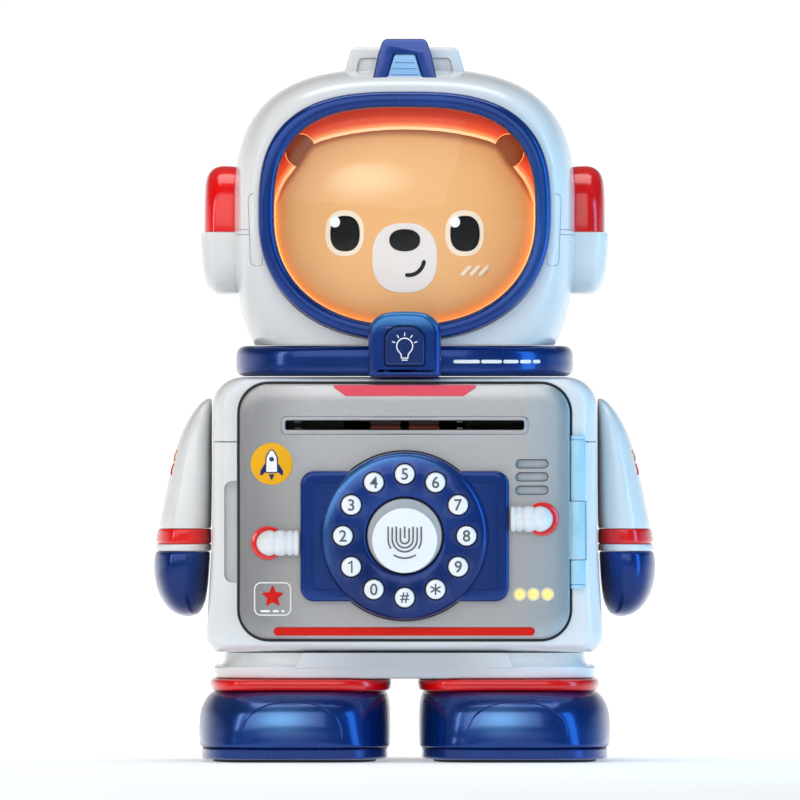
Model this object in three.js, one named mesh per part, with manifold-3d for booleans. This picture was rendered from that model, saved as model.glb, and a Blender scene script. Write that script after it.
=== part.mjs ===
// Toy cash machine savings bank in the shape of a small astronaut bear.
// Millimetres, +Z up. The front (door, dial, visor) faces -Y. The origin is the
// middle of the rectangle that the two feet stand on. "left" is the -X side.
import * as THREE from 'three';
import { mergeVertices } from 'three/addons/utils/BufferGeometryUtils.js';
import Module from 'manifold-3d';

const wasm = await Module();
wasm.setup();

// ------------------------------------------------------------ driving sizes
const GAP = 0.3;                    // air left between neighbouring pieces

// torso case
const FRONT = -52, REAR = 54;       // flat front and back faces of the case
const CASE_BOTTOM = 37.9, CASE_TOP = 133, CASE_HALF = 66.4, CASE_FLARE = 68.6;
const WALL = 3, FRONT_WALL = 5;
const DOOR_HOLE = { x: 55.5, z0: 45, z1: 128, r: 8 };

// door
const PLATE = { x: 56.9, z0: 42.6, z1: 130.5, r: 10, y0: -55.2, y1: -52.3 };
const HINGE = { x: 59.8, y: -52.2, r: 2.6, pin: 1.0, hole: 1.3, z0: 61.4, z1: 111.3 };
const KNUCKLE = { z0: 70, z1: 90 };

// dial and keys
const DIAL = { z: 78.2, r: 29, bore: 13.4, pitch: 21.3, y0: -62.9, y1: -59.7 };
const KEY = { r: 3.4, hole: 3.8, flange: 4.4, stem: 1.6, front: -63.8, back: -51.4 };
const PAD = { r: 12.1, flange: 15.4, front: -63.9 };

// banknote slot and rollers
const SLOT = { x: 41, z0: 114.9, z1: 117.8 };
const ROLL_Y = -38, FEED_Z = 111.2, PRESS_Z = 118.8, FEED_R = 5, PRESS_R = 2.3;

// head
const HEAD = { z: 188, x: 59.2, y: 60, up: 52, down: 64, n: 3, wall: 2.5 };
const VISOR = { z: 188.5, x: 50.7, up: 42.9, ix: 45, iup: 37.6, n: 3.1 };
const HEAD_BOTTOM = 144.1, VISOR_PLANE = -44;

// legs
const BOOT = { x0: 4.9, x1: 71.3, y0: -64, y1: 60 };

// back
const PACK = { x: 44, z0: 50, z1: 124, y: 64 };
const BATTERY = { x: 27, z0: 57.6, z1: 105.8, y0: 44 };
const COIN = { x: 16, z0: 112.8, z1: 117.4 };

// ------------------------------------------------------------------ helpers
function clean(geometry) {
  let g = geometry.index ? geometry.toNonIndexed() : geometry.clone();
  for (const name of Object.keys(g.attributes)) if (name !== 'position') g.deleteAttribute(name);
  g = mergeVertices(g, 1e-4);
  const src = g.index.array, p = g.attributes.position, keep = [];
  let volume = 0;
  const a = new THREE.Vector3(), b = new THREE.Vector3(), c = new THREE.Vector3();
  for (let i = 0; i < src.length; i += 3) {
    if (src[i] === src[i + 1] || src[i + 1] === src[i + 2] || src[i] === src[i + 2]) continue;
    keep.push(src[i], src[i + 1], src[i + 2]);
    a.fromBufferAttribute(p, src[i]); b.fromBufferAttribute(p, src[i + 1]); c.fromBufferAttribute(p, src[i + 2]);
    volume += a.dot(b.cross(c));
  }
  if (volume < 0) for (let i = 0; i < keep.length; i += 3) [keep[i], keep[i + 1]] = [keep[i + 1], keep[i]];
  g.setIndex(keep);
  return g;
}

function solid(geometry) {
  const g = clean(geometry);
  return new wasm.Manifold(new wasm.Mesh({
    numProp: 3,
    vertProperties: new Float32Array(g.attributes.position.array),
    triVerts: new Uint32Array(g.index.array),
  }));
}

function geometryOf(manifold) {
  const mesh = manifold.getMesh();
  const g = new THREE.BufferGeometry();
  g.setAttribute('position', new THREE.BufferAttribute(new Float32Array(mesh.vertProperties), 3));
  g.setIndex(new THREE.BufferAttribute(new Uint32Array(mesh.triVerts), 1));
  g.computeVertexNormals();
  return g;
}

const box = (x0, x1, y0, y1, z0, z1) => {
  const g = new THREE.BoxGeometry(x1 - x0, y1 - y0, z1 - z0);
  g.translate((x0 + x1) / 2, (y0 + y1) / 2, (z0 + z1) / 2);
  return solid(g);
};

// a round bar from a0 to a1 along an axis; u and v are its other two coordinates
const rod = (axis, r, a0, a1, u, v, sides = 16) => {
  const g = new THREE.CylinderGeometry(r, r, a1 - a0, sides);
  const m = (a0 + a1) / 2;
  if (axis === 'x') { g.rotateZ(-Math.PI / 2); g.translate(m, u, v); }
  if (axis === 'y') g.translate(u, m, v);
  if (axis === 'z') { g.rotateX(Math.PI / 2); g.translate(u, v, m); }
  return solid(g);
};

const roundedRect = (x0, x1, y0, y1, r, n = 4) => {
  const out = [];
  for (const [cx, cy, from] of [[x1 - r, y1 - r, 0], [x0 + r, y1 - r, 90], [x0 + r, y0 + r, 180], [x1 - r, y0 + r, 270]]) {
    for (let i = 0; i <= n; i++) {
      const t = THREE.MathUtils.degToRad(from + (90 * i) / n);
      out.push([cx + r * Math.cos(t), cy + r * Math.sin(t)]);
    }
  }
  return out;
};

const superellipse = (cx, cy, a, up, down, n, count) => {
  const out = [];
  for (let i = 0; i < count; i++) {
    const t = (2 * Math.PI * (i + 0.5)) / count, c = Math.cos(t), s = Math.sin(t);
    const k = (Math.abs(c) ** n + Math.abs(s) ** n) ** (-1 / n);
    out.push([cx + a * c * k, cy + (s > 0 ? up : down) * s * k]);
  }
  return out;
};

const shapeOf = (points, holes = []) => {
  const s = new THREE.Shape(points.map(([x, y]) => new THREE.Vector2(x, y)));
  for (const h of holes) s.holes.push(new THREE.Path(h.map(([x, y]) => new THREE.Vector2(x, y))));
  return s;
};

const extrude = (points, depth, { holes = [], bevel = 0, bevelDepth = bevel, rounds = 2 } = {}) =>
  new THREE.ExtrudeGeometry(shapeOf(points, holes), bevel > 0
    ? { depth: depth - 2 * bevelDepth, bevelEnabled: true, bevelSize: bevel, bevelOffset: -bevel, bevelThickness: bevelDepth, bevelSegments: rounds, steps: 1 }
    : { depth, bevelEnabled: false, steps: 1 });

// outline drawn in X and Z, thickness from y0 to y1
const slabY = (points, y0, y1, options = {}) => {
  const g = extrude(points, y1 - y0, options);
  const lift = options.bevel > 0 ? (options.bevelDepth ?? options.bevel) : 0;
  g.translate(0, 0, lift);
  g.rotateX(Math.PI / 2);
  g.translate(0, y1, 0);
  return solid(g);
};

// a skin through rounded sections stacked along an axis; a section is
// [position, centre u, centre v, half u, half v up, half v down, exponent]
const loft = (axis, sections, sides = 24) => {
  const profile = [new THREE.Vector2(0, 0), ...sections.map((_, i) => new THREE.Vector2(1, i)), new THREE.Vector2(0, sections.length - 1)];
  const g = new THREE.LatheGeometry(profile, sides);
  const p = g.attributes.position;
  for (let i = 0; i < p.count; i++) {
    const [w, cu, cv, a, up, down, n] = sections[Math.round(p.getY(i))];
    const r = Math.hypot(p.getX(i), p.getZ(i)), t = Math.atan2(p.getZ(i), p.getX(i));
    let u = cu, v = cv;
    if (r > 0.5) {
      const c = Math.cos(t), s = Math.sin(t), k = (Math.abs(c) ** n + Math.abs(s) ** n) ** (-1 / n);
      u += a * c * k;
      v += (s > 0 ? up : down) * s * k;
    }
    if (axis === 'x') p.setXYZ(i, w, u, v);
    if (axis === 'y') p.setXYZ(i, u, w, v);
    if (axis === 'z') p.setXYZ(i, u, v, w);
  }
  return solid(g);
};

// a dish or lens: profile of [fraction of the outline, y], outline a superellipse in X and Z
const dish = (profile, cz, a, up, down, n, sides = 36) => {
  const g = new THREE.LatheGeometry(profile.map(([t, y]) => new THREE.Vector2(t, y)), sides);
  const p = g.attributes.position;
  for (let i = 0; i < p.count; i++) {
    const r = Math.hypot(p.getX(i), p.getZ(i)), t = Math.atan2(p.getZ(i), p.getX(i)), y = p.getY(i);
    const c = Math.cos(t), s = Math.sin(t), k = (Math.abs(c) ** n + Math.abs(s) ** n) ** (-1 / n);
    p.setXYZ(i, r * a * c * k, y, cz + r * (s > 0 ? up : down) * s * k);
  }
  return solid(g);
};

// turned piece on an axis parallel to Y: profile of [radius, y]
const turned = (profile, x, z, sides) => {
  const g = new THREE.LatheGeometry(profile.map(([r, y]) => new THREE.Vector2(r, y)), sides);
  g.translate(x, 0, z);
  return solid(g);
};

// the helmet form, grown or shrunk by d
const egg = (d, ws = 24, hs = 14) => {
  const g = new THREE.SphereGeometry(1, ws, hs);
  g.rotateX(Math.PI / 2);
  const p = g.attributes.position, { n } = HEAD;
  for (let i = 0; i < p.count; i++) {
    const x = p.getX(i), y = p.getY(i), z = p.getZ(i);
    const c = (z >= 0 ? HEAD.up : HEAD.down) + d;
    const k = (Math.abs(x / (HEAD.x + d)) ** n + Math.abs(y / (HEAD.y + d)) ** n + Math.abs(z / c) ** n) ** (-1 / n);
    p.setXYZ(i, x * k, y * k, HEAD.z + z * k);
  }
  return solid(g);
};

const finish = {
  white: [0xf2f4f6, 0.25, 0], navy: [0x1b3e85, 0.25, 0], red: [0xcd191e, 0.25, 0], silver: [0xb4b4b8, 0.38, 0.85],
  tan: [0xe1af78, 0.5, 0], orange: [0xb93c1e, 0.45, 0], clear: [0xeef4f8, 0.05, 0], black: [0x1a1a1c, 0.55, 0],
  steel: [0x9a9a9e, 0.35, 0.9], green: [0x1f6b3a, 0.5, 0], amber: [0xffd24a, 0.2, 0], rubber: [0x3a3a3d, 0.8, 0], sky: [0x7fb7e6, 0.2, 0],
};

const assembly = new THREE.Group();
assembly.name = 'astronaut_bank';
const head = new THREE.Group(), torso = new THREE.Group(), legs = new THREE.Group(), door = new THREE.Group();
assembly.add(head, torso, legs, door);

const put = (group, name, shape, look) => {
  const [color, roughness, metalness] = finish[look];
  const material = new THREE.MeshStandardMaterial({ color, roughness, metalness, transparent: look === 'clear', opacity: look === 'clear' ? 0.35 : 1 });
  const mesh = new THREE.Mesh(geometryOf(shape), material);
  mesh.name = name;
  group.add(mesh);
  return mesh;
};

// -------------------------------------------------------------------- torso
const caseOutline = (inset = 0) => {
  const half = [[CASE_HALF - 1.1, CASE_BOTTOM], [CASE_FLARE, 41.9], [67.4, 56], [66.7, 74], [CASE_HALF, 100], [CASE_HALF, 122.5], [65.6, 127.3], [63.2, 130.9], [58.5, CASE_TOP]];
  const cz = (CASE_BOTTOM + CASE_TOP) / 2, kz = 1 - inset / (CASE_TOP - cz);
  const shrink = half.map(([x, z]) => [x - inset, cz + (z - cz) * kz]);
  return [...shrink, ...shrink.map(([x, z]) => [-x, z]).reverse()];
};

const caseOuter = slabY(caseOutline(), FRONT, REAR, { bevel: 4.6, bevelDepth: 8, rounds: 3 });
const caseInner = slabY(caseOutline(WALL), FRONT + FRONT_WALL, REAR - WALL);
const neckHole = rod('z', 9, CASE_TOP - 6, CASE_TOP + 2, 0, 0, 16);
const doorHole = slabY(roundedRect(-DOOR_HOLE.x, DOOR_HOLE.x, DOOR_HOLE.z0, DOOR_HOLE.z1, DOOR_HOLE.r), FRONT - 4, FRONT + 8);

const barrel = (z0, z1, r = HINGE.r) => rod('z', r, z0, z1, HINGE.x, HINGE.y, 16);
const lug = (z0, z1) => barrel(z0, z1).add(box(HINGE.x - 2.6, HINGE.x + 2.6, HINGE.y, FRONT + 3, z0, z1));

let frontShell = caseOuter.subtract(caseInner).intersect(box(-80, 80, -80, -GAP / 2, 30, 140))
  .subtract(doorHole).subtract(neckHole)
  // finger scoop beside the free edge of the door
  .subtract(slabY(roundedRect(-62, -54, 62, 97.1, 2.8), FRONT - 2, FRONT + 3.6))
  // mortise that the latch bolt enters, in the edge of the door hole
  .subtract(box(-60.4, -54, FRONT + 1, FRONT + 4.2, 102.8, 109.2))
  .add(lug(HINGE.z0, KNUCKLE.z0 - GAP)).add(lug(KNUCKLE.z1 + GAP, HINGE.z1))
  .subtract(barrel(KNUCKLE.z0 - GAP, KNUCKLE.z1 + GAP, 3.05))
  .subtract(rod('z', HINGE.hole, HINGE.z0 - 4, HINGE.z1 + 4, HINGE.x, HINGE.y, 12));
put(torso, 'torso_front_shell', frontShell, 'white');

let rearShell = caseOuter.subtract(caseInner).intersect(box(-80, 80, GAP / 2, 80, 30, 140)).subtract(neckHole)
  .add(slabY(roundedRect(-PACK.x, PACK.x, PACK.z0, PACK.z1, 9), 51.5, PACK.y, { bevel: 2.5, rounds: 2 }))
  .add(box(-BATTERY.x - 2, BATTERY.x + 2, 42, 60, BATTERY.z0 - 2, BATTERY.z1 + 2))
  .subtract(box(-BATTERY.x, BATTERY.x, BATTERY.y0, 63, BATTERY.z0, BATTERY.z1))
  .subtract(box(-30.4, 30.4, 61, 66, BATTERY.z0 - 2, BATTERY.z1 + 2.1))
  .subtract(box(-COIN.x, COIN.x, 48, 68, COIN.z0, COIN.z1));
put(torso, 'torso_rear_shell', rearShell, 'white');

put(torso, 'battery_cover', slabY(roundedRect(-30, 30, BATTERY.z0 - 1.6, BATTERY.z1 + 1.7, 2), 61.3, PACK.y, { bevel: 0.4, rounds: 1 })
  .subtract(slabY(roundedRect(-7, 7, 58.5, 62.5, 1.5, 2), 63, 66)), 'white');

const cellZ = [0, 1, 2].map((i) => BATTERY.z0 + 9.9 + i * 14.2);
put(torso, 'battery_cells', cellZ.map((z) => rod('x', 7.15, -25.2, 25.2, 51.8, z, 14)
  .add(rod('x', 2.6, -26.4, 25.4, 51.8, z, 8))).reduce((a, b) => a.add(b)), 'steel');

put(torso, 'vault_partition', slabY(caseOutline(WALL + 0.4), 38.5, 40.5)
  .add(box(-18.4, 18.4, 40, 50.6, COIN.z0 - 1.8, COIN.z1 + 1.8))
  .subtract(box(-COIN.x, COIN.x, 36, 52, COIN.z0, COIN.z1)), 'white');

put(torso, 'hinge_pin', rod('z', HINGE.pin, HINGE.z0 - 1.2, HINGE.z1 + 1.2, HINGE.x, HINGE.y, 12), 'steel');

// arms hang at the sides of the case; a section is [z, inner x, outer x, half depth]
const limb = (side, rows, n) => loft('z', rows.map(([z, xi, xo, d]) => [z, (side * (xi + xo)) / 2, 0, (xo - xi) / 2, d, d, n]), 20);
const armRows = [[72.8, 67.2, 86.2, 23.4], [80.5, 67.1, 85.2, 23.3], [89, 67, 83.6, 23], [98.5, 66.9, 81.7, 22.4], [108.5, 66.9, 79.2, 21], [116, 66.9, 76.2, 18.8], [121.5, 66.9, 72.8, 15], [125.4, 66.9, 69, 9]];
const handRows = [[49.9, 73.4, 76.6, 7], [51, 71.6, 79, 12.5], [53.5, 69.9, 82, 17.5], [57.5, 68.9, 84.9, 21.3], [63, 68.2, 86.6, 23.4], [68.5, 67.9, 87, 24], [72.5, 67.6, 86.5, 23.7]];
for (const [side, tag] of [[-1, 'left'], [1, 'right']]) {
  put(torso, `arm_${tag}`, limb(side, armRows, 2.6), 'white');
  put(torso, `hand_${tag}`, limb(side, handRows, 2.6), 'navy');
}

// ------------------------------------------------------------------- collar
put(torso, 'collar_ring', loft('z', [[133.3, 0, 0, 56.4, 48, 48, 3.2], [135, 0, 0, 58.4, 50, 50, 3.2], [142, 0, 0, 58.4, 50, 50, 3.2], [143.8, 0, 0, 56.4, 48, 48, 3.2]], 36)
  .subtract(rod('z', 20, 130, 147, 0, 0, 20)), 'navy');

const arch = (x, z0, z1, shoulder, grow = 0) => {
  const right = [[x + grow, z0 - grow], [x + grow, shoulder]];
  for (let i = 1; i <= 5; i++) {
    const t = (Math.PI / 2) * (i / 5);
    right.push([(x + grow) * Math.cos(t) ** 0.75, shoulder + (z1 + grow - shoulder) * Math.sin(t)]);
  }
  const left = right.slice(0, -1).reverse().map(([u, v]) => [-u, v]);
  return [...right, ...left];
};
put(torso, 'lamp_housing', slabY(arch(12.6, 132.9, 155.6, 146.5), -60, -53.4, { bevel: 1.2, rounds: 1 })
  .add(box(-10, 10, -54.5, -50.5, 134.4, 143))
  .subtract(slabY(arch(7, 136.8, 150.6, 145, 0.35), -62, -56.2)), 'navy');
put(torso, 'lamp_button', slabY(arch(7, 136.8, 150.6, 145), -61.2, -57.6, { bevel: 0.5, rounds: 1 }), 'navy');

// --------------------------------------------------------------------- head
const shellBody = egg(0).subtract(egg(-HEAD.wall)).intersect(box(-90, 90, VISOR_PLANE, 90, HEAD_BOTTOM, 260));
put(head, 'helmet_front_shell', shellBody.intersect(box(-90, 90, -90, -GAP / 2, 100, 260)), 'white');
put(head, 'helmet_rear_shell', shellBody.intersect(box(-90, 90, GAP / 2, 90, 100, 260)), 'white');

put(head, 'visor_ring', slabY(superellipse(0, VISOR.z, VISOR.x, VISOR.up, VISOR.up, VISOR.n, 32), -53, -44.35,
  { holes: [superellipse(0, VISOR.z, VISOR.ix, VISOR.iup, VISOR.iup, VISOR.n, 32)], bevel: 2.2, rounds: 1 }), 'navy');

put(head, 'visor_lens', dish([[0, -56.4], [0.35, -55.5], [0.65, -53.4], [0.87, -50.8], [1, -48.2], [1, -47.2], [0.86, -49.6], [0.64, -52.1], [0.35, -54.2], [0, -55.1]],
  VISOR.z, VISOR.ix - 0.45, VISOR.iup - 0.45, VISOR.iup - 0.45, VISOR.n, 24), 'clear');

put(head, 'face_reflector', dish([[0, -35.2], [0.93, -35.2], [0.975, -36.4], [0.982, -43.7], [1.015, -43.7], [1.015, -35], [0.985, -33.8], [0, -33.8]],
  VISOR.z, 44.2, 37, 37, VISOR.n, 28), 'orange');

const faceHalf = [[0, 218.7], [12, 218], [22, 215.4], [30, 211], [37.5, 203.5], [41.8, 195], [43.4, 185], [43, 172], [40, 160], [34, 154], [25, 152.4], [0, 151.9]];
const faceOutline = [...faceHalf, ...faceHalf.slice(1, -1).reverse().map(([x, z]) => [-x, z])].reverse();
put(head, 'bear_face', slabY(faceOutline, -41.5, -37)
  .add(rod('y', 5.5, -41, -37, -35, 211.3, 14)).add(rod('y', 5.5, -41, -37, 35, 211.3, 14))
  .intersect(slabY(superellipse(0, VISOR.z, 42.6, 35.5, 35.5, VISOR.n, 40), -50, -30)), 'tan');

put(head, 'head_light_board', [[-14, 177], [14, 177], [-14, 196], [14, 196]].reduce((b, [x, z]) => b.add(rod('y', 2.5, -33.2, -29, x, z, 10)), box(-22, 22, -30, -28.4, 168, 204)), 'green');

for (const [side, tag] of [[-1, 'left'], [1, 'right']]) {
  put(head, `ear_pod_${tag}`, loft('x', [[59.7, 0, 184, 18.4, 21.7, 21.8, 2.5], [66.2, 0, 184, 19, 22.3, 22.4, 2.5], [69.2, 0, 184, 16.8, 20, 20, 2.5], [70.6, 0, 184, 11, 14, 14, 2.4]]
    .map((s) => [side * s[0], ...s.slice(1)]), 24), 'red');
}

const crestArch = (grow) => [[11 + grow, 233], [11 + grow, 236], [8.9 + grow, 246.6], [7.6 + grow, 249.2 + grow], [6.2, 250 + grow], [-6.2, 250 + grow], [-7.6 - grow, 249.2 + grow], [-8.9 - grow, 246.6], [-11 - grow, 236], [-11 - grow, 233]];
const clearHelmet = egg(GAP);
put(head, 'crest_base', slabY([[21.4, 236], [18.6, 245.9], [17.2, 247.1], [-17.2, 247.1], [-18.6, 245.9], [-21.4, 236]], -24, 24, { bevel: 1, rounds: 1 })
  .subtract(slabY(crestArch(GAP), -40, 14.3)).subtract(clearHelmet), 'white');
put(head, 'crest_arch', slabY(crestArch(0), -28, 14, { bevel: 1, rounds: 1 }).subtract(clearHelmet), 'navy');

// --------------------------------------------------------------------- legs
put(legs, 'hip_base', loft('z', [[28.8, 0, 0, 66, 50, 50, 6], [32.8, 0, 0, 66.2, 50, 50, 6], [33.8, 0, 0, 62.9, 47.5, 47.5, 6], [37.6, 0, 0, 62.4, 47, 47, 6]], 36)
  .subtract(box(-58, 58, -42, 42, 27, 34.6)), 'white');

for (const [side, tag] of [[-1, 'left'], [1, 'right']]) {
  const sole = (z, x0, x1, y0, y1, n = 5) => [z, (side * (x0 + x1)) / 2, (y0 + y1) / 2, (x1 - x0) / 2, (y1 - y0) / 2, (y1 - y0) / 2, n];
  put(legs, `boot_ring_${tag}`, loft('z', [sole(24.4, 4.6, 67, -52, 52), sole(25.2, 4.5, 67.4, -52.4, 52.4), sole(27.7, 4.5, 67.4, -52.4, 52.4), sole(28.5, 4.7, 67, -52, 52)], 28), 'red');
  put(legs, `boot_${tag}`, loft('z', [sole(5.1, 5.1, 70.7, -63.4, 59.4), sole(8, 4.9, 71.3, BOOT.y0, BOOT.y1), sole(15, 4.9, 71.2, -63.8, 59.8), sole(20.4, 5.1, 69.7, -61, 57.6), sole(24.1, 5.8, 67.2, -55, 54)], 28), 'navy');
  put(legs, `sole_${tag}`, loft('z', [sole(0, 9.8, 66.5, -59, 55.4), sole(0.9, 9.8, 66.5, -59, 55.4), sole(1, 6.4, 69.8, -62.4, 58.6), sole(1.6, 5.9, 70.3, -62.8, 59), sole(4.8, 5.9, 70.3, -62.8, 59)], 28), 'navy');
}

// --------------------------------------------------------------------- door
const speakerSlots = [92.3, 96.9, 101.4].map((z) => slabY(roundedRect(38.2, 49.7, z, z + 3.2, 1.55, 3), -57, -50));
const ledX = [39.7, 44.4, 49.3], LED_Z = 58;
let plate = slabY(roundedRect(-PLATE.x, PLATE.x, PLATE.z0, PLATE.z1, PLATE.r, 5), PLATE.y0, PLATE.y1, { bevel: 0.7, rounds: 1 })
  .subtract(rod('y', 26.2, -58, -50, 0, DIAL.z, 24))
  .subtract(box(-42.5, 42.5, -58, -50, 113.2, 119.2))
  .subtract(box(50, 60, -53.65, -50, KNUCKLE.z0 - 0.35, KNUCKLE.z1 + 0.35));
for (const s of speakerSlots) plate = plate.subtract(s);
for (const x of ledX) plate = plate.subtract(rod('y', 2.05, -58, -50, x, LED_Z, 12));
put(door, 'door_plate', plate, 'silver');

// two-step tray behind the plate: a shallow rim and a deeper middle
// ribs under the note path carry the feed roller, open saddles over it the pressure roller
const bearing = (x0, x1) => box(x0, x1, -44.2, -27, 104, 115.5).subtract(box(x0 - 1, x1 + 1, -32, -20, 113.2, 116))
  .subtract(rod('x', 1.85, x0 - 1, x1 + 1, ROLL_Y, FEED_Z, 10));
const saddle = (x0, x1) => box(x0, x1, -42.4, -33.6, 117.2, 122.5)
  .subtract(rod('x', 1.55, x0 - 1, x1 + 1, ROLL_Y, PRESS_Z, 10)).subtract(box(x0 - 1, x1 + 1, ROLL_Y - 1.5, ROLL_Y + 1.5, 116, PRESS_Z));
let housing = slabY(roundedRect(-54, 54, 46.3, 126.7, 7.5, 3), -52, -45).add(box(-46, 46, -46, -26, 50, 124))
  .subtract(slabY(roundedRect(-52, 52, 48.3, 124.7, 5.5, 3), -53, -46.6)).subtract(box(-44, 44, -53, -28, 52, 122))
  .add(bearing(-38, -36)).add(bearing(18, 20)).add(saddle(-38, -36)).add(saddle(18, 20))
  .subtract(box(-42, 42, -29, -25, 113.4, 119.6))
  .subtract(box(50, 56, -53, -44, KNUCKLE.z0 - 0.4, KNUCKLE.z1 + 0.4))
  .subtract(box(-55, -51, -51.3, -47.2, 103.1, 108.9));
put(door, 'door_housing', housing, 'white');

put(door, 'door_knuckle', barrel(KNUCKLE.z0, KNUCKLE.z1)
  .add(box(50.4, HINGE.x, -53.3, -52.4, KNUCKLE.z0, KNUCKLE.z1))
  .add(box(50.4, 54.8, -53.3, -45.6, KNUCKLE.z0, KNUCKLE.z1))
  .subtract(rod('z', HINGE.hole, 60, 100, HINGE.x, HINGE.y, 12)), 'white');

put(door, 'note_slot_bezel', box(-42.2, 42.2, -55.7, -44.7, 113.5, 118.9).subtract(box(-SLOT.x, SLOT.x, -57, -43, SLOT.z0, SLOT.z1)), 'black');

// two raised wings joined by a thin ring that the dial sits on
put(door, 'keypad_backing', slabY(roundedRect(-36, 36, 55.5, 100.6, 4.8), -59.4, -55.5, { bevel: 0.8, rounds: 1 })
  .subtract(rod('y', 29.5, -62, -57.3, 0, DIAL.z, 30)).add(rod('y', 28.7, -57.3, -55.5, 0, DIAL.z, 30))
  .subtract(rod('y', 26.4, -62, -54, 0, DIAL.z, 24)), 'navy');

const keyPlaces = ['5', '6', '7', '8', '9', 'star', 'hash', '0', '1', '2', '3', '4'].map((name, i) => {
  const t = (i * Math.PI) / 6;
  return { name: `key_${name}`, x: DIAL.pitch * Math.sin(t), z: DIAL.z + DIAL.pitch * Math.cos(t) };
});

let dial = turned([[DIAL.bore, DIAL.y1], [DIAL.bore, -62.2], [DIAL.bore + 0.7, DIAL.y0], [27.2, DIAL.y0], [28.5, -62.1], [DIAL.r, -60.9], [DIAL.r, -57.6], [26.4, -57.6], [26.4, DIAL.y1], [DIAL.bore, DIAL.y1]], 0, DIAL.z, 30);
for (const k of keyPlaces) dial = dial.subtract(rod('y', KEY.hole, -65, -57, k.x, k.z, 10));
put(door, 'dial_ring', dial, 'navy');

for (const k of keyPlaces) {
  put(door, k.name, turned([[0, KEY.front], [2.7, KEY.front], [KEY.r, -63.2], [KEY.r, -59.3], [KEY.flange, -59.3], [KEY.flange, -58.5], [KEY.stem, -58.5], [KEY.stem, KEY.back], [0, KEY.back]], k.x, k.z, 8), 'white');
}

put(door, 'fingerprint_pad', turned([[0, -63], [9.6, PAD.front], [11.4, PAD.front], [PAD.r, -63.2], [PAD.r, -59.3], [PAD.flange, -59.3], [PAD.flange, -58.5], [4, -58.5], [4, KEY.back], [0, KEY.back]], 0, DIAL.z, 18), 'white');

const hose = (x0, x1, sx, z) => rod('x', 4.1, x0, x1, -59.7, z, 12).add(rod('y', 5.9, -57.6, -55.5, sx, z, 16));
put(door, 'hose_left', hose(-51.4, -36.4, -47.2, 75.7), 'white');
put(door, 'hose_right', hose(36.4, 51.3, 47.4, 84), 'white');

put(door, 'main_circuit_board', box(-33, 33, -49.8, -48.2, 52, 106), 'green');
put(door, 'speaker', turned([[0, -52], [3, -51.4], [6.2, -52], [7, -52], [7, -49.6], [5, -47.2], [0, -47.2]], 42, 99.3, 16), 'black');
put(door, 'indicator_light_pipe', ledX.reduce((b, x) => b.add(rod('y', 1.7, -55.7, -51, x, LED_Z, 10)), box(37.4, 51.4, -52, -50.4, 55.4, 60.6)), 'amber');
put(door, 'feed_motor', rod('x', 4.7, 22.9, 41.8, ROLL_Y, FEED_Z, 14), 'steel');
put(door, 'latch_solenoid', box(-42.6, -33.6, -51.7, -47, 100, 112), 'steel');
put(door, 'latch_bolt', box(-53.6, -43, -50.8, -47.8, 103.6, 108.4), 'steel');

const roller = (r, shaft, z, drum) => rod('x', shaft, -39.4, 22.4, ROLL_Y, z, 12).add(rod('x', r, -drum, drum, ROLL_Y, z, 16));
put(door, 'feed_roller', roller(FEED_R, 1.5, FEED_Z, 12), 'rubber');
put(door, 'pressure_roller', roller(PRESS_R, 1.2, PRESS_Z, 12), 'rubber');

export default assembly;
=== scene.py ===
import math

import bmesh
import bpy
import numpy as np
from mathutils import Matrix, Vector
from mathutils.geometry import tessellate_polygon


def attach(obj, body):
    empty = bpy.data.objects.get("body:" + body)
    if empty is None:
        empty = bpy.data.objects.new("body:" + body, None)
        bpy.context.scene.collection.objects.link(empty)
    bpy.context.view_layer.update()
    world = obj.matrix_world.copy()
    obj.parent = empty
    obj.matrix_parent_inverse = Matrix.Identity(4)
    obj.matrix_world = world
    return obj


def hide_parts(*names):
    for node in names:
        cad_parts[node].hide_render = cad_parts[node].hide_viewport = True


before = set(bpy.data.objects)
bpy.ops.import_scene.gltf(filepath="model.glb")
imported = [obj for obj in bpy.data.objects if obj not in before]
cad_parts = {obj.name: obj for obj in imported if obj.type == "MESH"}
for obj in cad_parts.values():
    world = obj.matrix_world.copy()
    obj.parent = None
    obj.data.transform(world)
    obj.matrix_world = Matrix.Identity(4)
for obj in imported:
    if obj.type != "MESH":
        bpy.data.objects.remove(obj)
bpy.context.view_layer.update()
MM = 0.001
PI = math.pi
scene = bpy.context.scene


# ================================================================ colours and materials
def lin(r, g, b):
    out = []
    for v in (r, g, b):
        v /= 255.0
        out.append(v / 12.92 if v <= 0.04045 else ((v + 0.055) / 1.055) ** 2.4)
    return (out[0], out[1], out[2], 1.0)


def new_material(name):
    m = bpy.data.materials.new(name)
    m.use_nodes = True
    nt = m.node_tree
    return m, nt, nt.nodes["Principled BSDF"]


def node(nt, kind, **values):
    n = nt.nodes.new(kind)
    for k, v in values.items():
        if hasattr(n, k):
            setattr(n, k, v)
        else:
            n.inputs[k.replace("_", " ")].default_value = v
    return n


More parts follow.
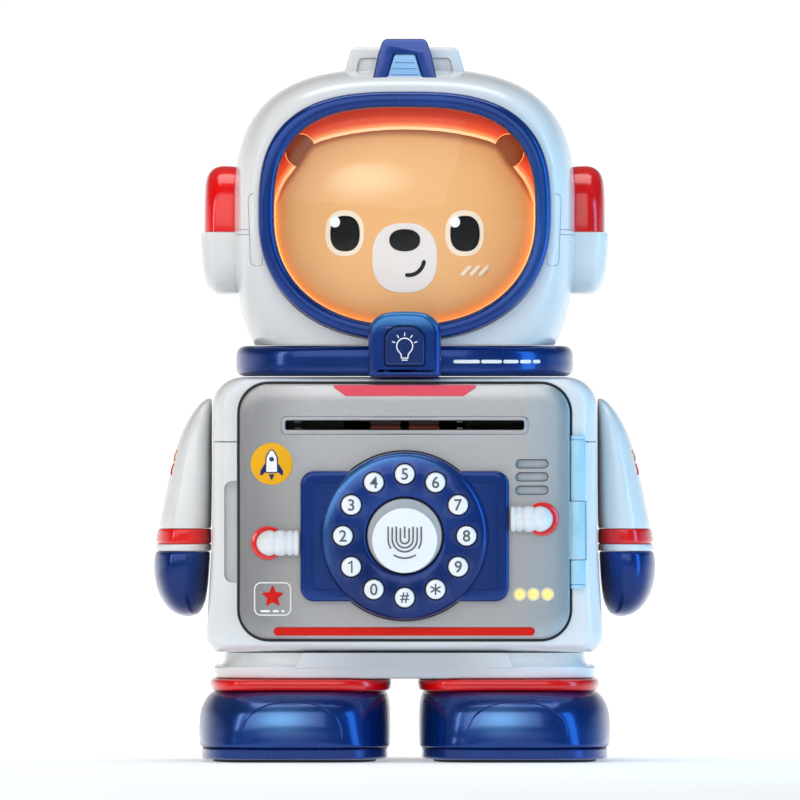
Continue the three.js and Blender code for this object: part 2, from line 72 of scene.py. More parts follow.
def moulded(name, rgb, rough=0.22, metallic=0.0, coat=0.35, coat_rough=0.06, tint=None, mottle=0.05, mottle_scale=45.0,
            grain=900.0, grain_depth=0.012, rough_spread=0.10, spec=0.5, emit=None, emit_strength=0.0, edge=0.10, sub=0.0, scratches=0.25):
    """Moulded or painted surface: large soft colour drift, fine grain in the bump, hairline handling marks and a lighter, worn edge."""
    m, nt, p = new_material(name)
    base = lin(*rgb)
    tex = node(nt, "ShaderNodeTexCoord")
    big = node(nt, "ShaderNodeTexNoise", Scale=mottle_scale, Detail=4.0, Roughness=0.55)
    nt.links.new(tex.outputs["Object"], big.inputs["Vector"])
    drift = node(nt, "ShaderNodeMapRange")
    drift.inputs["From Min"].default_value, drift.inputs["From Max"].default_value = 0.3, 0.7
    drift.inputs["To Min"].default_value, drift.inputs["To Max"].default_value = 0.0, 1.0
    nt.links.new(big.outputs["Fac"], drift.inputs["Value"])
    mix = node(nt, "ShaderNodeMix", data_type="RGBA", blend_type="MIX")
    lo = tuple(c * (1 - mottle) for c in base[:3]) + (1.0,)
    hi = tint and lin(*tint) or tuple(min(1.0, c * (1 + mottle)) for c in base[:3]) + (1.0,)
    mix.inputs[6].default_value, mix.inputs[7].default_value = lo, hi
    nt.links.new(drift.outputs["Result"], mix.inputs[0])
    colour = mix.outputs[2]
    # worn, slightly lighter edges
    geo = node(nt, "ShaderNodeNewGeometry")
    wear = node(nt, "ShaderNodeMapRange")
    wear.inputs["From Min"].default_value, wear.inputs["From Max"].default_value = 0.53, 0.62
    wear.inputs["To Min"].default_value, wear.inputs["To Max"].default_value = 0.0, edge
    nt.links.new(geo.outputs["Pointiness"], wear.inputs["Value"])
    light = node(nt, "ShaderNodeMix", data_type="RGBA", blend_type="MIX")
    light.inputs[7].default_value = tuple(0.55 + 0.45 * c for c in base[:3]) + (1.0,)
    nt.links.new(colour, light.inputs[6])
    nt.links.new(wear.outputs["Result"], light.inputs[0])
    nt.links.new(light.outputs[2], p.inputs["Base Color"])
    # roughness: cloudy variation plus fine streaks
    fine = node(nt, "ShaderNodeTexNoise", Scale=grain, Detail=3.0, Roughness=0.6)
    nt.links.new(tex.outputs["Object"], fine.inputs["Vector"])
    stretch = node(nt, "ShaderNodeMapping")
    stretch.inputs["Scale"].default_value = (260.0, 260.0, 18.0)
    stretch.inputs["Rotation"].default_value = (0.5, 0.9, 0.3)
    nt.links.new(tex.outputs["Object"], stretch.inputs["Vector"])
    streak = node(nt, "ShaderNodeTexNoise", Scale=3.0, Detail=2.0, Roughness=0.5)
    nt.links.new(stretch.outputs["Vector"], streak.inputs["Vector"])
    hair = node(nt, "ShaderNodeMapRange")
    hair.inputs["From Min"].default_value, hair.inputs["From Max"].default_value = 0.62, 0.72
    hair.inputs["To Min"].default_value, hair.inputs["To Max"].default_value = 0.0, scratches * rough_spread
    nt.links.new(streak.outputs["Fac"], hair.inputs["Value"])
    cloud = node(nt, "ShaderNodeMapRange")
    cloud.inputs["To Min"].default_value, cloud.inputs["To Max"].default_value = max(0.02, rough - rough_spread / 2), rough + rough_spread / 2
    nt.links.new(big.outputs["Fac"], cloud.inputs["Value"])
    add = node(nt, "ShaderNodeMath", operation="ADD")
    nt.links.new(cloud.outputs["Result"], add.inputs[0])
    nt.links.new(hair.outputs["Result"], add.inputs[1])
    nt.links.new(add.outputs["Value"], p.inputs["Roughness"])
    bump = node(nt, "ShaderNodeBump")
    bump.inputs["Strength"].default_value = 0.35
    bump.inputs["Distance"].default_value = grain_depth * MM
    nt.links.new(fine.outputs["Fac"], bump.inputs["Height"])
    nt.links.new(bump.outputs["Normal"], p.inputs["Normal"])
    p.inputs["Metallic"].default_value = metallic
    p.inputs["Specular IOR Level"].default_value = spec
    p.inputs["Coat Weight"].default_value = coat
    p.inputs["Coat Roughness"].default_value = coat_rough
    if sub:
        p.inputs["Subsurface Weight"].default_value = sub
        p.inputs["Subsurface Radius"].default_value = (0.004, 0.003, 0.002)
        p.inputs["Subsurface Scale"].default_value = 1.0
    if emit:
        p.inputs["Emission Color"].default_value = lin(*emit)
        p.inputs["Emission Strength"].default_value = emit_strength
    return m


def attribute_ramp(name, attribute, stops, rough, emission=0.0, coat=0.0, grain=700.0):
    """A surface whose colour runs along a value stored on the mesh, with fine grain and a soft cloudiness over it."""
    m, nt, p = new_material(name)
    att = node(nt, "ShaderNodeAttribute", attribute_name=attribute)
    tex = node(nt, "ShaderNodeTexCoord")
    noise = node(nt, "ShaderNodeTexNoise", Scale=90.0, Detail=3.0)
    nt.links.new(tex.outputs["Object"], noise.inputs["Vector"])
    shift = node(nt, "ShaderNodeMath", operation="MULTIPLY_ADD")
    shift.inputs[1].default_value, shift.inputs[2].default_value = 0.05, -0.025
    nt.links.new(noise.outputs["Fac"], shift.inputs[0])
    total = node(nt, "ShaderNodeMath", operation="ADD")
    nt.links.new(att.outputs["Fac"], total.inputs[0])
    nt.links.new(shift.outputs["Value"], total.inputs[1])
    ramp = node(nt, "ShaderNodeValToRGB")
    ramp.color_ramp.interpolation = "EASE"
    while len(ramp.color_ramp.elements) < len(stops):
        ramp.color_ramp.elements.new(0.5)
    for e, (pos, rgb) in zip(ramp.color_ramp.elements, stops):
        e.position, e.color = pos, lin(*rgb)
    nt.links.new(total.outputs["Value"], ramp.inputs["Fac"])
    nt.links.new(ramp.outputs["Color"], p.inputs["Base Color"])
    if emission:
        nt.links.new(ramp.outputs["Color"], p.inputs["Emission Color"])
        p.inputs["Emission Strength"].default_value = emission
    fine = node(nt, "ShaderNodeTexNoise", Scale=grain, Detail=3.0)
    nt.links.new(tex.outputs["Object"], fine.inputs["Vector"])
    bump = node(nt, "ShaderNodeBump")
    bump.inputs["Strength"].default_value, bump.inputs["Distance"].default_value = 0.3, 0.02 * MM
    nt.links.new(fine.outputs["Fac"], bump.inputs["Height"])
    nt.links.new(bump.outputs["Normal"], p.inputs["Normal"])
    rr = node(nt, "ShaderNodeMapRange")
    rr.inputs["To Min"].default_value, rr.inputs["To Max"].default_value = rough - 0.06, rough + 0.06
    nt.links.new(noise.outputs["Fac"], rr.inputs["Value"])
    nt.links.new(rr.outputs["Result"], p.inputs["Roughness"])
    p.inputs["Coat Weight"].default_value = coat
    return m


def speckled_metal(name, rgb, rough=0.36, metallic=0.8, spread=0.09):
    """Silver lacquer with fine metal flake: sparkle cells in the colour and roughness, and a very fine bump."""
    m, nt, p = new_material(name)
    tex = node(nt, "ShaderNodeTexCoord")
    flake = node(nt, "ShaderNodeTexVoronoi", Scale=3600.0)
    nt.links.new(tex.outputs["Object"], flake.inputs["Vector"])
    cloud = node(nt, "ShaderNodeTexNoise", Scale=22.0, Detail=3.0)
    nt.links.new(tex.outputs["Object"], cloud.inputs["Vector"])
    bw = node(nt, "ShaderNodeSeparateColor")
    nt.links.new(flake.outputs["Color"], bw.inputs["Color"])
    mul = node(nt, "ShaderNodeMath", operation="MULTIPLY_ADD")
    mul.inputs[1].default_value, mul.inputs[2].default_value = 0.75, 0.10
    nt.links.new(bw.outputs["Red"], mul.inputs[0])
    add = node(nt, "ShaderNodeMath", operation="MULTIPLY_ADD")
    add.inputs[1].default_value = 0.16
    nt.links.new(cloud.outputs["Fac"], add.inputs[0])
    nt.links.new(mul.outputs["Value"], add.inputs[2])
    mix = node(nt, "ShaderNodeMix", data_type="RGBA", blend_type="MIX")
    base = lin(*rgb)
    mix.inputs[6].default_value = tuple(c * (1 - spread) for c in base[:3]) + (1,)
    mix.inputs[7].default_value = tuple(min(1, c * (1 + spread)) for c in base[:3]) + (1,)
    nt.links.new(add.outputs["Value"], mix.inputs[0])
    nt.links.new(mix.outputs[2], p.inputs["Base Color"])
    rr = node(nt, "ShaderNodeMapRange")
    rr.inputs["To Min"].default_value, rr.inputs["To Max"].default_value = rough - 0.05, rough + 0.08
    nt.links.new(bw.outputs["Green"], rr.inputs["Value"])
    nt.links.new(rr.outputs["Result"], p.inputs["Roughness"])
    bump = node(nt, "ShaderNodeBump")
    bump.inputs["Strength"].default_value, bump.inputs["Distance"].default_value = 0.10, 0.01 * MM
    nt.links.new(bw.outputs["Blue"], bump.inputs["Height"])
    nt.links.new(bump.outputs["Normal"], p.inputs["Normal"])
    p.inputs["Metallic"].default_value = metallic
    return m


def turned_metal(name, rgb, rough=0.3):
    m, nt, p = new_material(name)
    tex = node(nt, "ShaderNodeTexCoord")
    mp = node(nt, "ShaderNodeMapping")
    mp.inputs["Scale"].default_value = (900.0, 60.0, 60.0)
    nt.links.new(tex.outputs["Object"], mp.inputs["Vector"])
    n = node(nt, "ShaderNodeTexNoise", Scale=2.0, Detail=4.0)
    nt.links.new(mp.outputs["Vector"], n.inputs["Vector"])
    mix = node(nt, "ShaderNodeMix", data_type="RGBA", blend_type="MIX")
    base = lin(*rgb)
    mix.inputs[6].default_value = tuple(c * 0.8 for c in base[:3]) + (1,)
    mix.inputs[7].default_value = base
    nt.links.new(n.outputs["Fac"], mix.inputs[0])
    nt.links.new(mix.outputs[2], p.inputs["Base Color"])
    rr = node(nt, "ShaderNodeMapRange")
    rr.inputs["To Min"].default_value, rr.inputs["To Max"].default_value = rough - 0.1, rough + 0.12
    nt.links.new(n.outputs["Fac"], rr.inputs["Value"])
    nt.links.new(rr.outputs["Result"], p.inputs["Roughness"])
    bump = node(nt, "ShaderNodeBump")
    bump.inputs["Strength"].default_value, bump.inputs["Distance"].default_value = 0.4, 0.02 * MM
    nt.links.new(n.outputs["Fac"], bump.inputs["Height"])
    nt.links.new(bump.outputs["Normal"], p.inputs["Normal"])
    p.inputs["Metallic"].default_value = 1.0
    return m


def clear_plastic(name):
    m, nt, p = new_material(name)
    tex = node(nt, "ShaderNodeTexCoord")
    n = node(nt, "ShaderNodeTexNoise", Scale=14.0, Detail=2.0)
    nt.links.new(tex.outputs["Object"], n.inputs["Vector"])
    bump = node(nt, "ShaderNodeBump")
    bump.inputs["Strength"].default_value, bump.inputs["Distance"].default_value = 0.15, 0.02 * MM
    nt.links.new(n.outputs["Fac"], bump.inputs["Height"])
    nt.links.new(bump.outputs["Normal"], p.inputs["Normal"])
    p.inputs["Base Color"].default_value = (1, 1, 1, 1)
    p.inputs["Roughness"].default_value = 0.03
    p.inputs["IOR"].default_value = 1.22
    p.inputs["Transmission Weight"].default_value = 1.0
    return m


WHITE = moulded("white_gloss_abs", (234, 235, 235), rough=0.24, coat=0.3, mottle=0.02, edge=0.05)
NAVY = moulded("navy_pearl_lacquer", (6, 50, 124), rough=0.26, metallic=0.55, coat=0.35, mottle=0.09, tint=(9, 58, 138), edge=0.04, spec=0.35)
NAVY_DEEP = moulded("navy_pad_lacquer", (6, 44, 108), rough=0.3, metallic=0.5, coat=0.25, mottle=0.08, edge=0.10)
RED = moulded("red_gloss_abs", (238, 8, 12), rough=0.2, coat=0.4, mottle=0.07, edge=0.1)
BAR_RED = moulded("bar_red_print", (224, 22, 4), spec=0.2, rough=0.55, coat=0.1, mottle=0.05)
CORAL = moulded("coral_print", (244, 84, 100), spec=0.2, rough=0.55, coat=0.1, mottle=0.05)
SILVER = speckled_metal("silver_flake_lacquer", (196, 195, 195), rough=0.34, spread=0.07)
# hinge barrels: white plastic coloured pale cyan, painted cyan light
HINGE_PAINTED_CYAN_LIGHT = moulded("white_abs_in_painted_cyan_light", (168, 216, 238), rough=0.28, coat=0.3, mottle=0.03, edge=0.05)

def put_attribute(ob, name, values):
    a = ob.data.attributes.new(name, "FLOAT", "POINT")
    a.data.foreach_set("value", np.asarray(values, np.float32))


def painted_light_zones(source, name, zones):
    """A copy of a material with painted light and shade: soft colour zones (axis, from, to, rgb factor), given in
    millimetres and read in metres on the object's own axes.
    """
    m = source.copy()
    m.name = name
    nt = m.node_tree
    p = next(n_ for n_ in nt.nodes if n_.type == "BSDF_PRINCIPLED")
    sock = p.inputs["Base Color"].links[0].from_socket
    tex = nt.nodes.new("ShaderNodeTexCoord")
    sep = nt.nodes.new("ShaderNodeSeparateXYZ")
    nt.links.new(tex.outputs["Object"], sep.inputs["Vector"])
    for axis, a, b, factor in zones:
        r = nt.nodes.new("ShaderNodeMapRange")
        r.interpolation_type = "SMOOTHSTEP"
        lo_, hi_ = (a, b) if a < b else (b, a)
        r.inputs["From Min"].default_value, r.inputs["From Max"].default_value = lo_ * MM, hi_ * MM
        r.inputs["To Min"].default_value, r.inputs["To Max"].default_value = (0.0, 1.0) if a < b else (1.0, 0.0)
        nt.links.new(sep.outputs[axis], r.inputs["Value"])
        k = nt.nodes.new("ShaderNodeMix")
        k.data_type, k.blend_type = "RGBA", "MULTIPLY"
        k.inputs[7].default_value = tuple(factor) + (1.0,)
        nt.links.new(sock, k.inputs[6])
        nt.links.new(r.outputs["Result"], k.inputs[0])
        sock = k.outputs[2]
    nt.links.new(sock, p.inputs["Base Color"])
    return m


def painted_highlight_spot(source, name, attribute, rgb, amount):
    """A copy of a material with a painted highlight: it fades to a lighter colour where the stored value is high."""
    m = source.copy()
    m.name = name
    nt = m.node_tree
    p = next(n_ for n_ in nt.nodes if n_.type == "BSDF_PRINCIPLED")
    sock = p.inputs["Base Color"].links[0].from_socket
    att = nt.nodes.new("ShaderNodeAttribute")
    att.attribute_name = attribute
    mul = nt.nodes.new("ShaderNodeMath")
    mul.operation = "MULTIPLY"
    mul.inputs[1].default_value = amount
    nt.links.new(att.outputs["Fac"], mul.inputs[0])
    k = nt.nodes.new("ShaderNodeMix")
    k.data_type = "RGBA"
    k.inputs[7].default_value = lin(*rgb)
    nt.links.new(mul.outputs["Value"], k.inputs[0])
    nt.links.new(sock, k.inputs[6])
    nt.links.new(k.outputs[2], p.inputs["Base Color"])
    return m


# door plate: painted shade, darker at the left edge and towards the bottom, and painted cyan light at the right edge
PLATE_PAINTED_SHADE = painted_light_zones(SILVER, "silver_plate_painted_shade", [("X", -30, -57.5, (0.60, 0.60, 0.61)), ("X", 36, 57.5, (0.74, 0.94, 1.06)), ("Z", 122, 66, (0.90, 0.90, 0.90))])
# dial: painted shade, darker towards the bottom, and a painted highlight on the upper left of its outer rim
NAVY_DIAL_PAINTED_LIGHT = painted_highlight_spot(painted_light_zones(NAVY, "navy_dial_painted_shade", [("Z", 86, 56, (0.62, 0.64, 0.70))]), "navy_dial_painted_highlight", "rim", (96, 160, 226), 0.55)
# visor ring: painted cyan light, lighter blue towards the right side
NAVY_RING_PAINTED_LIGHT = painted_light_zones(NAVY, "navy_visor_painted_light", [("X", 26, 52, (4.0, 1.9, 1.35))])
# lamp housing: a painted highlight, a light blue band along the top
NAVY_HOUSING_PAINTED_HIGHLIGHT = painted_light_zones(NAVY, "navy_housing_top_painted_highlight", [("Z", 147.5, 154.5, (14, 5.5, 2.2))])
# hips: painted shade, darker in the middle under the torso
WHITE_HIP_PAINTED_SHADE = painted_light_zones(WHITE, "white_hip_middle_painted_shade", [("X", -48, -8, (0.66, 0.66, 0.68)), ("X", 8, 48, (1.5, 1.52, 1.5))])
# helmet and ear cups: painted shade, darker towards the bottom
WHITE_HELMET_PAINTED_SHADE = painted_light_zones(WHITE, "white_helmet_low_painted_shade", [("Z", 192, 152, (0.84, 0.84, 0.845))])
# hands: painted shade, darker towards the bottom
NAVY_HAND_PAINTED_SHADE = painted_light_zones(NAVY, "navy_hand_low_painted_shade", [("Z", 74, 56, (0.55, 0.62, 0.68))])
SILVER_RIM = speckled_metal("silver_rim_lacquer", (186, 186, 189), rough=0.34, spread=0.02)
BLACK = moulded("black_satin_abs", (22, 22, 24), rough=0.45, coat=0.0, mottle=0.15, edge=0.05)
# dark rings set in the gaps round the dial, keys and pad: painted shadow
GAP_PAINTED_SHADOW = moulded("painted_gap_shadow", (30, 33, 44), rough=0.7, coat=0.0, mottle=0.1, edge=0.0)
PRINT_BLACK = moulded("black_pad_print", (6, 4, 4), spec=0.15, rough=0.6, coat=0.0, mottle=0.1, edge=0.0)
# the white, muzzle and cream prints carry a faint emission: painted glow
PRINT_WHITE = moulded("white_pad_print_painted_glow", (250, 246, 240), rough=0.4, coat=0.1, mottle=0.02, edge=0.0, emit=(250, 246, 240), emit_strength=0.06)
MUZZLE = moulded("muzzle_pad_print_painted_glow", (236, 220, 208), rough=0.45, coat=0.05, mottle=0.03, edge=0.0, emit=(238, 226, 220), emit_strength=0.04)
PRINT_CREAM = moulded("cream_print_painted_glow", (248, 222, 192), rough=0.45, coat=0.0, mottle=0.03, edge=0.0, emit=(248, 222, 192), emit_strength=0.05)
EAR_BROWN = moulded("ear_brown_print", (166, 90, 46), rough=0.55, coat=0.0, mottle=0.12, edge=0.0, spec=0.2)
PRINT_GREY = moulded("grey_pad_print", (92, 94, 100), rough=0.5, coat=0.0, mottle=0.05, edge=0.0)
KEY_WHITE = moulded("white_key_cap", (250, 250, 250), rough=0.3, coat=0.2, mottle=0.015, edge=0.03)
LIGHT_BLUE = moulded("pale_blue_window", (120, 178, 226), rough=0.15, coat=0.6, mottle=0.06, edge=0.1)
YELLOW = moulded("yellow_disc_print", (254, 180, 20), spec=0.2, rough=0.55, coat=0.1, mottle=0.04)
# the roller rubbers carry a faint emission: painted glow
RUBBER = moulded("roller_rubber", (76, 66, 64), emit=(70, 60, 56), emit_strength=0.3, rough=0.75, coat=0.0, mottle=0.2, grain=1800, grain_depth=0.05)
RUBBER_BROWN = moulded("roller_rubber_brown", (128, 66, 54), emit=(120, 62, 50), emit_strength=0.32, rough=0.7, coat=0.0, mottle=0.2, grain=1800, grain_depth=0.05)
PAD_BLACK = moulded("foot_pad_rubber", (24, 24, 27), rough=0.8, coat=0.0, mottle=0.15, grain=1500, grain_depth=0.06)
BOARD = moulded("circuit_board_green", (26, 92, 52), rough=0.4, coat=0.2, mottle=0.2, mottle_scale=300)
ORANGE_PRINT = moulded("orange_print", (238, 150, 40), rough=0.4, coat=0.1, mottle=0.05)
STEEL = turned_metal("turned_steel", (168, 170, 174))
# grey base of the fingerprint pad, seen as a crescent above the white face: painted shadow
PAD_PAINTED_SHADOW = moulded("pad_crescent_painted_shadow", (176, 178, 182), rough=0.35, coat=0.2, mottle=0.06)
SHAFT = turned_metal("blackened_shaft", (62, 60, 60), rough=0.42)
CELL = moulded("battery_wrap", (70, 76, 84), rough=0.35, metallic=0.4, coat=0.3, mottle=0.1)
AMBER = moulded("amber_lamp", (255, 224, 130), rough=0.2, coat=0.4, mottle=0.03, emit=(255, 205, 90), emit_strength=1.5)
LENS = clear_plastic("clear_visor_plastic")
# bear face: painted shade, darker at the outline and the top, a painted highlight on the forehead, and a faint emission
# as painted glow
FACE_PAINTED_LIGHT = attribute_ramp("face_tan_painted_shade_and_glow", "shade", [(0.0, (118, 66, 38)), (0.12, (176, 112, 66)), (0.32, (228, 162, 98)), (0.72, (232, 168, 104)), (1.0, (246, 202, 148))], 0.5, emission=0.14, coat=0.0)
BACKING = attribute_ramp("lit_orange_backing", "glow", [(0.0, (176, 42, 8)), (0.30, (222, 74, 22)), (0.62, (240, 150, 82)), (0.86, (255, 226, 170)), (1.0, (255, 246, 222))], 0.5, emission=0.5)


# ================================================================ outlines (x, z) in millimetres
def se(cx, cz, a, up, dn, nu, nd, count, grow=0.0):
    out = []
    for i in range(count):
        t = 2 * PI * i / count
        c, s = math.cos(t), math.sin(t)
        n = nu if s >= 0 else nd
        k = (abs(c) ** n + abs(s) ** n) ** (-1.0 / n)
        out.append((cx + (a + grow) * c * k, cz + ((up if s >= 0 else dn) + grow) * s * k))
    return out


def circle(cx, cz, r, count=48):
    return [(cx + r * math.cos(2 * PI * i / count), cz + r * math.sin(2 * PI * i / count)) for i in range(count)]


def fillet(points, seg=8):
    """Polygon of (x, z, radius) with each corner rounded."""
    out, n = [], len(points)
    for i in range(n):
        p0, p1, p2 = (Vector(points[(i + k) % n][:2]) for k in (-1, 0, 1))
        r = points[i][2]
        d0, d1 = (p0 - p1), (p2 - p1)
        l0, l1 = d0.length, d1.length
        d0.normalize(); d1.normalize()
        ang = d0.angle(d1)
        if r <= 0 or ang > PI - 1e-3:
            out.append((p1.x, p1.y))
            continue
        cut = min(r / math.tan(ang / 2), 0.49 * l0, 0.49 * l1)
        r = cut * math.tan(ang / 2)
        centre = p1 + (d0 + d1).normalized() * (r / math.sin(ang / 2))
        a, b = p1 + d0 * cut - centre, p1 + d1 * cut - centre
        t0, t1 = math.atan2(a.y, a.x), math.atan2(b.y, b.x)
        while t1 - t0 > PI: t1 -= 2 * PI
        while t1 - t0 < -PI: t1 += 2 * PI
        for k in range(seg + 1):
            t = t0 + (t1 - t0) * k / seg
            out.append((centre.x + r * math.cos(t), centre.y + r * math.sin(t)))
    return out


def rrect(x0, x1, z0, z1, r, seg=8):
    return fillet([(x1, z1, r), (x0, z1, r), (x0, z0, r), (x1, z0, r)], seg)


def area(poly):
    return 0.5 * sum(poly[i][0] * poly[(i + 1) % len(poly)][1] - poly[(i + 1) % len(poly)][0] * poly[i][1] for i in range(len(poly)))


def inset(poly, d):
    """Each point moved d to the left of the direction of travel."""
    out, n = [], len(poly)
    for i in range(n):
        a, b, c = (Vector(poly[(i + k) % n]) for k in (-1, 0, 1))
        u, v = (b - a), (c - b)
        if u.length < 1e-9 or v.length < 1e-9:
            w = u if u.length > v.length else v
            w.normalize()
            out.append((b.x - w.y * d, b.y + w.x * d))
            continue
        u.normalize(); v.normalize()
        nu, nv = Vector((-u.y, u.x)), Vector((-v.y, v.x))
        m = nu + nv
        if m.length < 1e-6:
            m = nu
        m.normalize()
        s = max(0.35, m.dot(nu))
        out.append((b.x + m.x * d / s, b.y + m.y * d / s))
    return out


def polar(poly, centre, count):
    """The outline sampled at even angles about a centre."""
    a = np.array(poly, float) - np.array(centre)
    b = np.roll(a, -1, axis=0)
    e = b - a
    out = []
    for i in range(count):
        t = 2 * PI * i / count
        d = np.array([math.cos(t), math.sin(t)])
        den = d[0] * e[:, 1] - d[1] * e[:, 0]
        den = np.where(np.abs(den) < 1e-12, 1e-12, den)
        r = (a[:, 0] * e[:, 1] - a[:, 1] * e[:, 0]) / den
        s = (a[:, 0] * d[1] - a[:, 1] * d[0]) / den
        ok = (s >= -1e-6) & (s <= 1 + 1e-6) & (r > 0)
        k = float(r[ok].max())
        out.append((centre[0] + d[0] * k, centre[1] + d[1] * k))
    return out


# ================================================================ mesh makers
def raw(name, verts, faces):
    me = bpy.data.meshes.new(name)
    me.from_pydata([(x * MM, y * MM, z * MM) for x, y, z in verts], [], faces)
    bm = bmesh.new()
    bm.from_mesh(me)
    bmesh.ops.remove_doubles(bm, verts=bm.verts, dist=2e-7)
    bmesh.ops.dissolve_degenerate(bm, dist=1e-8, edges=bm.edges)
    bmesh.ops.recalc_face_normals(bm, faces=bm.faces)
    bm.to_mesh(me)
    bm.free()
    ob = bpy.data.objects.new(name, me)
    scene.collection.objects.link(ob)
    return ob


def done(ob, mat, body, replaces=(), smooth=32, weighted=False, bevel=0.0, bevel_seg=2, subsurf=0):
    me = ob.data
    me.shade_smooth()
    me.set_sharp_from_angle(angle=math.radians(smooth))
    me.materials.clear()
    me.materials.append(mat)
    if bevel:
        b = ob.modifiers.new("edge", "BEVEL")
        b.width, b.segments, b.limit_method, b.angle_limit = bevel * MM, bevel_seg, "ANGLE", math.radians(35)
        b.harden_normals = True
    if subsurf:
        s = ob.modifiers.new("fine", "SUBSURF")
        s.levels = s.render_levels = subsurf
    if weighted:
        w = ob.modifiers.new("flat", "WEIGHTED_NORMAL")
        w.keep_sharp = True
    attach(ob, body)
    if replaces:
        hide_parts(*replaces)
    return ob


def rings(name, loops, closed=False, cap0=True, cap1=True):
    """Skin through rings of equal count; each ring is a list of (x, y, z)."""
    n, verts, faces = len(loops[0]), [], []
    for loop in loops:
        verts += loop
    m = len(loops)
    for j in range(m if closed else m - 1):
        a, b = j * n, ((j + 1) % m) * n
        for i in range(n):
            k = (i + 1) % n
            faces.append((a + i, a + k, b + k, b + i))
    if not closed:
        for flag, base, loop in ((cap0, 0, loops[0]), (cap1, (m - 1) * n, loops[-1])):
            if flag:
                c = len(verts)
                verts.append(tuple(sum(p[q] for p in loop) / n for q in range(3)))
                for i in range(n):
                    faces.append((base + i, base + (i + 1) % n, c))
    return raw(name, verts, faces)


def at_y(poly, y):
    return [(x, y, z) for x, z in poly]


def slab(name, outer, y0, y1, holes=(), bev=0.4, seg=3, bev1=None, crown=None):
    """Plate drawn in X and Z from y0 (front) to y1 (back) with rounded edges and any holes."""
    bev1 = min(bev, 0.3) if bev1 is None else bev1
    loops = [list(outer) if area(outer) > 0 else list(outer)[::-1]]
    loops += [list(h) if area(h) < 0 else list(h)[::-1] for h in holes]
    verts, faces, front, back = [], [], [], []
    for poly in loops:
        prof = []
        if crown and poly is loops[0]:
            w, h = crown
            prof += [(w * (1 - k / 10), y0 + h * (k / 10) ** 2.2) for k in range(0, 10)]
            prof += [(bev * (1 - math.sin(PI / 2 * k / seg)), y0 + h + bev * (1 - math.cos(PI / 2 * k / seg))) for k in range(seg + 1)]
        elif bev > 0:
            prof += [(bev * (1 - math.sin(PI / 2 * k / seg)), y0 + bev * (1 - math.cos(PI / 2 * k / seg))) for k in range(seg + 1)]
        else:
            prof += [(0, y0)]
        if bev1 > 0:
            prof += [(bev1 * (1 - math.cos(PI / 2 * k / seg)), y1 - bev1 * (1 - math.sin(PI / 2 * k / seg))) for k in range(seg + 1)]
        else:
            prof += [(0, y1)]
        n, start = len(poly), len(verts)
        for d, y in prof:
            verts += at_y(inset(poly, d) if d else poly, y)
        for j in range(len(prof) - 1):
            for i in range(n):
                k = (i + 1) % n
                a = start + j * n
                faces.append((a + i, a + k, a + n + k, a + n + i))
        front.append(list(range(start, start + n)))
        back.append(list(range(start + (len(prof) - 1) * n, start + len(prof) * n)))
    for group in (front, back):
        flat = [i for g in group for i in g]
        tris = tessellate_polygon([[Vector((verts[i][0], verts[i][2], 0)) for i in g] for g in group])
        faces += [tuple(flat[i] for i in t) for t in tris]
    return raw(name, verts, faces)


def lathe_y(name, profile, cx, cz, count=72):
    """Turned about an axis parallel to Y: profile of (radius, y), from axis to axis."""
    loops, n = [], count
    verts, faces, index = [], [], []
    for r, y in profile:
        if r < 1e-6:
            index.append([len(verts)])
            verts.append((cx, y, cz))
        else:
            index.append(list(range(len(verts), len(verts) + n)))
            verts += [(cx + r * math.cos(2 * PI * i / n), y, cz + r * math.sin(2 * PI * i / n)) for i in range(n)]
    closed = profile[0][0] > 1e-6
    m = len(profile)
    for j in range(m if closed else m - 1):
        a, b = index[j], index[(j + 1) % m]
        for i in range(n):
            k = (i + 1) % n
            q = [a[i % len(a)], a[k % len(a)], b[k % len(b)], b[i % len(b)]]
            q = [v for p, v in enumerate(q) if v not in q[:p]]
            if len(q) > 2:
                faces.append(tuple(q))
    return raw(name, verts, faces)


def arc(cx, cy, r, a0, a1, n, rz=None):
    rz = r if rz is None else rz
    return [(cx + r * math.cos(math.radians(a0 + (a1 - a0) * i / n)), cy + rz * math.sin(math.radians(a0 + (a1 - a0) * i / n))) for i in range(n + 1)]


def tube(name, points, radius, sides=12, closed=False, radii=None, flat=1.0):
    """Round bar along 3-D points, with hemispherical ends when open. flat squashes it along Y."""
    pts = [Vector(p) for p in points]
    n = len(pts)
    rad = list(radii) if radii else [radius] * n
    loops, up = [], Vector((0, 1, 0))
    frames = []
    for i in range(n):
        a, b = pts[(i - 1) % n if closed else max(0, i - 1)], pts[(i + 1) % n if closed else min(n - 1, i + 1)]
        t = (b - a).normalized()
        side = t.cross(up)
        if side.length < 1e-4:
            side = t.cross(Vector((0, 0, 1)))
        side.normalize()
        frames.append((t, side, side.cross(t).normalized()))
    def loop(p, fr, r):
        t, s, u = fr
        return [tuple(p + s * r * math.cos(2 * PI * k / sides) + u * r * flat * math.sin(2 * PI * k / sides)) for k in range(sides)]
    if not closed:
        for k in (3, 2, 1):
            a = PI / 2 * k / 3.3
            loops.append(loop(pts[0] - frames[0][0] * rad[0] * math.sin(a), frames[0], rad[0] * math.cos(a)))
    for i in range(n):
        loops.append(loop(pts[i], frames[i], rad[i]))
    if not closed:
        for k in (1, 2, 3):
            a = PI / 2 * k / 3.3
            loops.append(loop(pts[-1] + frames[-1][0] * rad[-1] * math.sin(a), frames[-1], rad[-1] * math.cos(a)))
    return rings(name, loops, closed=closed)


